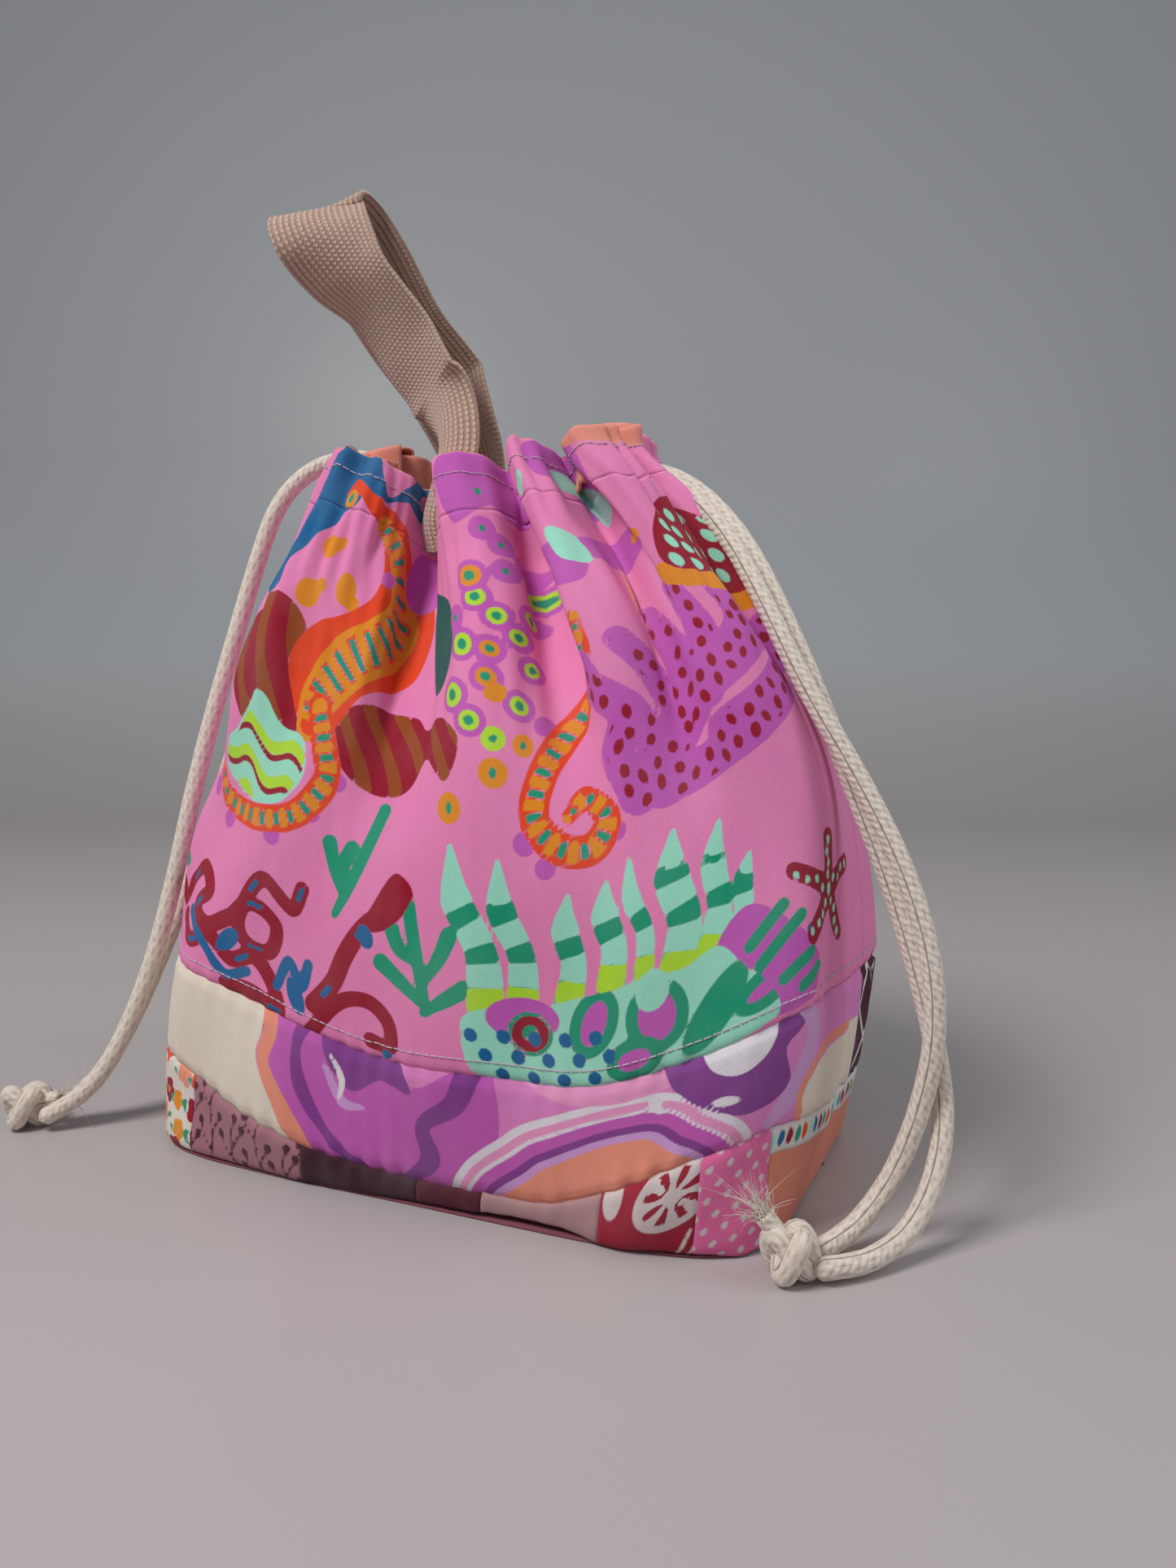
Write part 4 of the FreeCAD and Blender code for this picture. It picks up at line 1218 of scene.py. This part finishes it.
patch_plans = {
    "patch_floral": ("front", -165, -82, dye(232, 222, 212), floral_print, "floral_cotton"),
    "patch_berry": ("front", -82, -35, dye(172, 116, 128), sprig_print, "berry_cotton"),
    "patch_aubergine": ("front", -35, 5, dye(64, 24, 38), None, "aubergine_cotton"),
    "patch_wine": ("front", 5, 25, dye(94, 26, 44), None, "wine_cotton"),
    "patch_beige": ("front", 25, 62, dye(196, 152, 154), None, "beige_cotton"),
    "patch_crimson": ("front", 62, 90, dye(166, 12, 48), crimson_print, "crimson_cotton"),
    "patch_dotted": ("front", 90, 106, dye(236, 112, 168), dotted_print, "dotted_cotton"),
    "patch_peach": ("front", 106, 165, dye(240, 146, 122), None, "peach_cotton"),
}
back_plans = {
    "back_patch_lilac": (-82, -37, dye(206, 162, 206), None, "lilac_cotton"),
    "back_patch_berry": (-37, 4.5, dye(172, 116, 128), sprig_print, "berry_cotton"),
    "back_patch_cream": (4.5, 53.5, dye(228, 214, 196), floral_print, "cream_cotton"),
    "back_patch_crimson": (53.5, 106, dye(166, 12, 48), None, "crimson_cotton"),
}


def column_at(side, x):
    """The column of the foot's cloth that lies at x on that side of the bag."""
    level = halves[side][seam_low_row // 2, :, 0]
    middle = slice(20, len(along) - 20)
    return 20 + int(np.argmin(abs(level[middle] - x)))


foot_rows, strip_row = slice(0, seam_low_row + 1), row_at(STRIP_LOW)
front_cloth, back_cloth = halves["front"], halves["back"]


def patch(name, blocks, tint, draw, slot_name, wide, high=SEAM_LOW):
    cloth = None
    if draw:
        cloth = Print(along, up)
        draw(cloth)
    deeper = tuple(0.72 * value for value in tint[:3]) + (1.0,)
    if cloth:
        material = printed(name + "_cotton", tint, layers_of(cloth, inks))
    else:
        material = plain(name + "_cotton", tint, deeper)
    piece = cut(name + "_cloth", blocks, prints=cloth)
    if high > 10:
        finish(piece, material, slot_name, name, (wide, high))
    else:
        piece.data.materials.append(material)
        dress(piece, [name])


last = len(along) - 1
ends = {"patch_floral": column_at("back", -82), "patch_peach": column_at("back", 106)}
for name, (side, first, second, tint, draw, slot_name) in patch_plans.items():
    low = 0 if first == -165 else column_at("front", first)
    high = last if second == 165 else column_at("front", second)
    rows = slice(0, strip_row + 1) if name == "patch_peach" else foot_rows
    blocks = [(front_cloth, along, up, rows, slice(low, high + 1))]
    wide = (high - low) * GRID
    if name in ends:
        behind = slice(ends[name], last + 1) if name == "patch_floral" else slice(0, ends[name] + 1)
        blocks.append((back_cloth, along, up, rows, behind))
        wide += (behind.stop - 1 - behind.start) * GRID
    patch(name, blocks, tint, draw, slot_name, wide, STRIP_LOW if name == "patch_peach" else SEAM_LOW)
strip_rows = slice(strip_row, seam_low_row + 1)
patch("oval_strip", [
    (front_cloth, along, up, strip_rows, slice(column_at("front", 106), last + 1)),
    (back_cloth, along, up, strip_rows, slice(0, ends["patch_peach"] + 1)),
], dye(226, 220, 214), oval_print, "oval_cotton", 100.0, 8.0)
for name, (first, second, tint, draw, slot_name) in back_plans.items():
    low, high = column_at("back", second), column_at("back", first)
    patch(name, [(back_cloth, along, up, foot_rows, slice(low, high + 1))], tint, draw, slot_name,
        (high - low) * GRID)

# Lining and base ----------------------------------------------------------------------------------
# A peach cotton lining hangs inside the shell, with a flat foot of its own. The base under the bag
# is one flat panel of heavier cotton.
lining_cotton = plain("peach_lining", dye(232, 144, 138), dye(222, 126, 124))
for side in ("front", "back"):
    points = halves[side]
    inset = 2.4 - 1.15 * ease((up - 110) / 60)
    inside = points - normals_of(points) * inset[:, None, None]
    inside[:, 0], inside[:, -1] = points[:, 0] * 0.985, points[:, -1] * 0.985
    inside[..., 2] = np.maximum(inside[..., 2], 3.4)
    lining = cut(side + "_lining_cloth", [(inside, along, up, slice(6, channel_row + 6), everything)],
        0.5)
    finish(lining, lining_cotton, "lining_cotton", side + "_lining", (2 * CLOTH_HALF, 244.0))


def flat_foot(name, inset, height, thick):
    front_line = np.stack(level_line(0.0, True, np.linspace(0, 1, 121)), axis=1)
    back_line = np.stack(level_line(0.0, False, np.linspace(0, 1, 121)), axis=1)
    outline = np.concatenate([front_line[:-1], back_line[:-1]])
    vertices, faces, count, rings = [(0, 0, height * MM)], [], len(outline), 24
    for ring in range(1, rings + 1):
        for x, y in outline * (1 - inset / 66) * ring / rings:
            vertices.append((x * MM, y * MM, height * MM))
    for k in range(count):
        faces.append((0, 1 + k, 1 + (k + 1) % count))
    for ring in range(rings - 1):
        for k in range(count):
            a, b = 1 + ring * count + k, 1 + ring * count + (k + 1) % count
            faces.append((a, a + count, b + count, b))
    piece = object_from(name, vertices, faces)
    give_map(piece, np.array(vertices)[:, :2])
    thicken(piece, thick * MM, -1.0)
    return piece


base = flat_foot("base_cloth", 1.0, 0.75, 0.7)
finish(base, plain("base_cotton", dye(150, 84, 96), dye(120, 60, 74)), "base_cotton", "base_panel",
    (216, 132))
inner_foot = flat_foot("lining_foot_cloth", 5.0, 3.1, 0.5)
finish(inner_foot, lining_cotton, "lining_cotton", "lining_base", (200, 120))

# Webbing loop -------------------------------------------------------------------------------------
# One length of brown cotton webbing, 32 mm wide and ribbed lengthways. Both ends are sewn inside the
# neck; the loop curls out of the folds in front, bends over at the top and goes down behind.
WEBBING, WEBBING_THICK = 0.032, 0.0016
webbing_stations = [  # middle of the webbing, then the direction from its left edge to its right
    ((-17, -24, 196), (9, -9, 2)), ((-17, -26, 206), (10, -12, 2)), ((-14, -25, 218), (12, -15, 0)),
    ((-13, -21, 232), (17, -17, -4)), ((-18, -18, 248), (27, -15, -7)),
    ((-26, -20, 262), (32, -10, -6)),
    ((-34, -25, 275), (32, -8, -5)), ((-42, -32, 286), (33, 0, -2)), ((-48, -36, 297), (32, 8, 2)),
    ((-52.5, -33, 305), (30, 11, 5)), ((-53, -27, 306.5), (30, 12, 5)), ((-51, -20, 302), (30, 12, 3)),
    ((-46, -13, 292), (32, 6, 2)), ((-38, -3, 273), (34, 3, -3)), ((-27, 6, 256), (32, 3, -3)),
    ((-20, 14, 240), (24, 2, -3)), ((-19, 18, 224), (18, 3, -3)), ((-19, 19, 208), (18, 3, -3)),
]


def webbing_finish():
    loom = Loom("brown_webbing", roughness=0.9, sheen=0.3)
    across, run = loom.along_up()
    ribs = (across * (2 * math.pi / 2.0)).sine() * 0.5 + 0.5
    picks = (run * (2 * math.pi / 1.5) + (across * math.pi).sine() * 1.5).sine() * 0.5 + 0.5
    place = loom.place()
    fluff = loom.noise(place, 700.0, 4.0)
    # Painted shade and highlight: darker brown in the grooves between ribs, lighter on the rib tops and
    # where the picks cross over them.
    tint = loom.mix(ribs, dye(150, 118, 104), dye(192, 160, 142))
    tint = loom.mix((picks * ribs * 0.35).clamp(), tint, dye(216, 188, 168))
    loom.colour(loom.mix((fluff * 0.5 - 0.12).clamp(), tint, dye(214, 190, 174)))
    loom.relief(ribs * 0.8 + picks * ribs * 0.5 + fluff * 0.4, 0.00045)
    return loom.material


def ribbon(name, stations, wide, thick, material):
    """Webbing through its stations, always as wide as it was woven, ribbed and slightly cupped."""
    stations = [(np.array(c, float), np.array(w, float)) for c, w in stations]
    knots = np.arange(len(stations))
    fine = np.linspace(0, len(stations) - 1, 14 * (len(stations) - 1) + 1)
    centre = np.stack([through(fine, knots, np.array([c[k] for c, _ in stations])) for k in range(3)],
        axis=1) * MM
    for _ in range(8):
        centre[1:-1] = 0.5 * centre[1:-1] + 0.25 * (centre[:-2] + centre[2:])
    lean = np.stack([through(fine, knots, np.array([w[k] for _, w in stations])) for k in range(3)],
        axis=1)
    narrow = np.clip(np.linalg.norm(lean, axis=1) * MM / wide, 0.5, 1.0)
    ahead = np.gradient(centre, axis=0)
    ahead /= np.linalg.norm(ahead, axis=1, keepdims=True)
    lean -= ahead * (lean * ahead).sum(1, keepdims=True)
    lean /= np.linalg.norm(lean, axis=1, keepdims=True)
    face = np.cross(lean, ahead)
    run = np.append(0, np.cumsum(np.linalg.norm(np.diff(centre, axis=0), axis=1)))
    count = 65
    share = np.linspace(-0.5, 0.5, count)
    # Where the webbing is squeezed it curls round its own length, so its width is kept.
    curl = np.sqrt(np.clip(1 - narrow, 0, 0.5) * 6)[:, None]
    angle = share[None, :] * 2 * curl
    flat = wide * share[None, :] * np.ones_like(curl)
    sideways = np.where(curl > 0.02, wide / 2 * np.sin(angle) / np.maximum(curl, 0.02), flat)
    cup = np.where(curl > 0.02, wide / 2 * (1 - np.cos(angle)) / np.maximum(curl, 0.02), 0)
    ribs = 0.00010 * np.cos(2 * np.pi * share * wide / 0.002)[None, :]
    rows = (centre[:, None] + lean[:, None] * sideways[..., None] - face[:, None] * (cup - ribs)[...,
        None])
    piece = object_from(name, rows.reshape(-1, 3), grid_faces(len(fine), count))
    give_map(piece, np.stack([np.tile(share * wide, len(fine)), np.repeat(run, count)], axis=1))
    thicken(piece, thick, 0.0)
    piece.data.materials.append(material)
    return piece


brown_webbing = webbing_finish()
loop = ribbon("webbing_loop", webbing_stations, WEBBING, WEBBING_THICK, brown_webbing)
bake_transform(loop)
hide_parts("handle_webbing")
for name, first in (("front", webbing_stations[:2]), ("rear", webbing_stations[-2:])):
    (a, w), (b, v) = first
    shift = 2.2 if name == "front" else -2.2
    places = [(a[0], a[1] + shift, a[2]), (b[0], b[1] + shift, b[2])]
    middle = tuple((p + q) / 2 for p, q in zip(*places))
    tab = ribbon("webbing_" + name + "_end", [(places[0], w), (middle, w), (places[1], v)], 0.020,
        WEBBING_THICK, brown_webbing)
    dress(tab, ["handle_" + name + "_end"])

# Cords inside the channel ---------------------------------------------------------------------------
# The hidden lengths of the two drawcords, which follow the channel round the neck and turn back.
hidden_cords = {"left_cord_in_channel": [(-32, -1, 214), (-20, -2, 213), (0, -2, 212), (14, -2, 213),
    (22, 2, 214), (22, 7, 214), (14, 11, 214), (0, 11, 214), (-18, 11, 214), (-32, 9, 214)],
    "right_cord_in_channel": [(20, -1, 206), (8, -3, 205), (-10, -3, 204), (-24, -2, 205),
    (-31, 2, 206), (-31, 7, 206), (-24, 12, 206), (-8, 12, 206), (8, 12, 206), (20, 9, 206)], }
for name, route in hidden_cords.items():
    tube, _ = braided_tube(name + "_braid", smooth_line(name + "_line", np.array(route) * MM), CORD)
    dress(tube, [name])

# Stitching ------------------------------------------------------------------------------------------
# Machine stitches in grey thread: one row under the drawn top edge, which closes the channel, and one
# row above the seam over the band.


def stitch_rows():
    """A node group that lays short stitches along a line."""
    group = bpy.data.node_groups.new("stitch_rows", "GeometryNodeTree")
    face = group.interface
    face.new_socket(name="Geometry", in_out="INPUT", socket_type="NodeSocketGeometry")
    for label, kind in (("Pitch", "NodeSocketFloat"), ("Length", "NodeSocketFloat"),
            ("Thread", "NodeSocketFloat"), ("Material", "NodeSocketMaterial")):
        face.new_socket(name=label, in_out="INPUT", socket_type=kind)
    face.new_socket(name="Geometry", in_out="OUTPUT", socket_type="NodeSocketGeometry")

    def add(kind, **settings):
        made = group.nodes.new(kind)
        for setting, value in settings.items():
            setattr(made, setting, value)
        return made

    start, end = add("NodeGroupInput"), add("NodeGroupOutput")
    to_curve = add("GeometryNodeMeshToCurve")
    resample = add("GeometryNodeResampleCurve", mode="LENGTH")
    line = add("GeometryNodeCurvePrimitiveLine")
    line_end = add("ShaderNodeCombineXYZ")
    half = add("ShaderNodeMath", operation="MULTIPLY")
    half.inputs[1].default_value = 0.5
    minus = add("ShaderNodeMath", operation="MULTIPLY")
    minus.inputs[1].default_value = -0.5
    line_start = add("ShaderNodeCombineXYZ")
    profile = add("GeometryNodeCurvePrimitiveCircle")
    profile.inputs["Resolution"].default_value = 6
    sweep = add("GeometryNodeCurveToMesh")
    sweep.inputs["Fill Caps"].default_value = True
    tangent = add("GeometryNodeInputTangent")
    align = add("FunctionNodeAlignRotationToVector", axis="Z")
    spread = add("GeometryNodeInstanceOnPoints")
    real = add("GeometryNodeRealizeInstances")
    paint = add("GeometryNodeSetMaterial")
    for source, out, target, into in ((start, "Geometry", to_curve, "Mesh"),
            (to_curve, "Curve", resample, "Curve"), (start, "Pitch", resample, "Length"),
            (start, "Length", half, 0), (start, "Length", minus, 0), (half, 0, line_end, "Z"),
            (minus, 0, line_start, "Z"), (line_start, 0, line, "Start"), (line_end, 0, line, "End"),
            (line, "Curve", sweep, "Curve"), (start, "Thread", profile, "Radius"),
            (profile, "Curve", sweep, "Profile Curve"), (resample, "Curve", spread, "Points"),
            (sweep, "Mesh", spread, "Instance"), (tangent, "Tangent", align, "Vector"),
            (align, "Rotation", spread, "Rotation"), (spread, "Instances", real, "Geometry"),
            (real, "Geometry", paint, "Geometry"), (start, "Material", paint, "Material"),
            (paint, "Geometry", end, "Geometry"), ):
        group.links.new(source.outputs[out], target.inputs[into])
    return group


rows_of_stitches = stitch_rows()
thread_finish = Loom("grey_thread", roughness=0.7, sheen=0.2)
thread_finish.shader.inputs["Base Color"].default_value = dye(196, 176, 192)


def sew(name, line, pitch=2.6, length=2.1, thread=0.22):
    line = np.array(line) * MM
    holder = bpy.data.meshes.new(name)
    holder.from_pydata([tuple(p) for p in line], [(k, k + 1) for k in range(len(line) - 1)], [])
    row = bpy.data.objects.new(name, holder)
    scene.collection.objects.link(row)
    rule = row.modifiers.new("stitches", "NODES")
    rule.node_group = rows_of_stitches
    settings = {"Pitch": pitch * MM, "Length": length * MM, "Thread": thread * MM,
        "Material": thread_finish.material}
    for socket in rows_of_stitches.interface.items_tree:
        if socket.in_out == "INPUT" and socket.name in settings:
            rule[socket.identifier] = settings[socket.name]
    settle(row)
    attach(row, "bag")


for side in ("front", "back"):
    shape, outward = halves[side], normals_of(halves[side])
    for label, height in (("channel_stitches", 256.0), ("band_stitches", 72.0)):
        row = row_at(height)
        sew(side + "_" + label, shape[row] + outward[row] * 0.12)
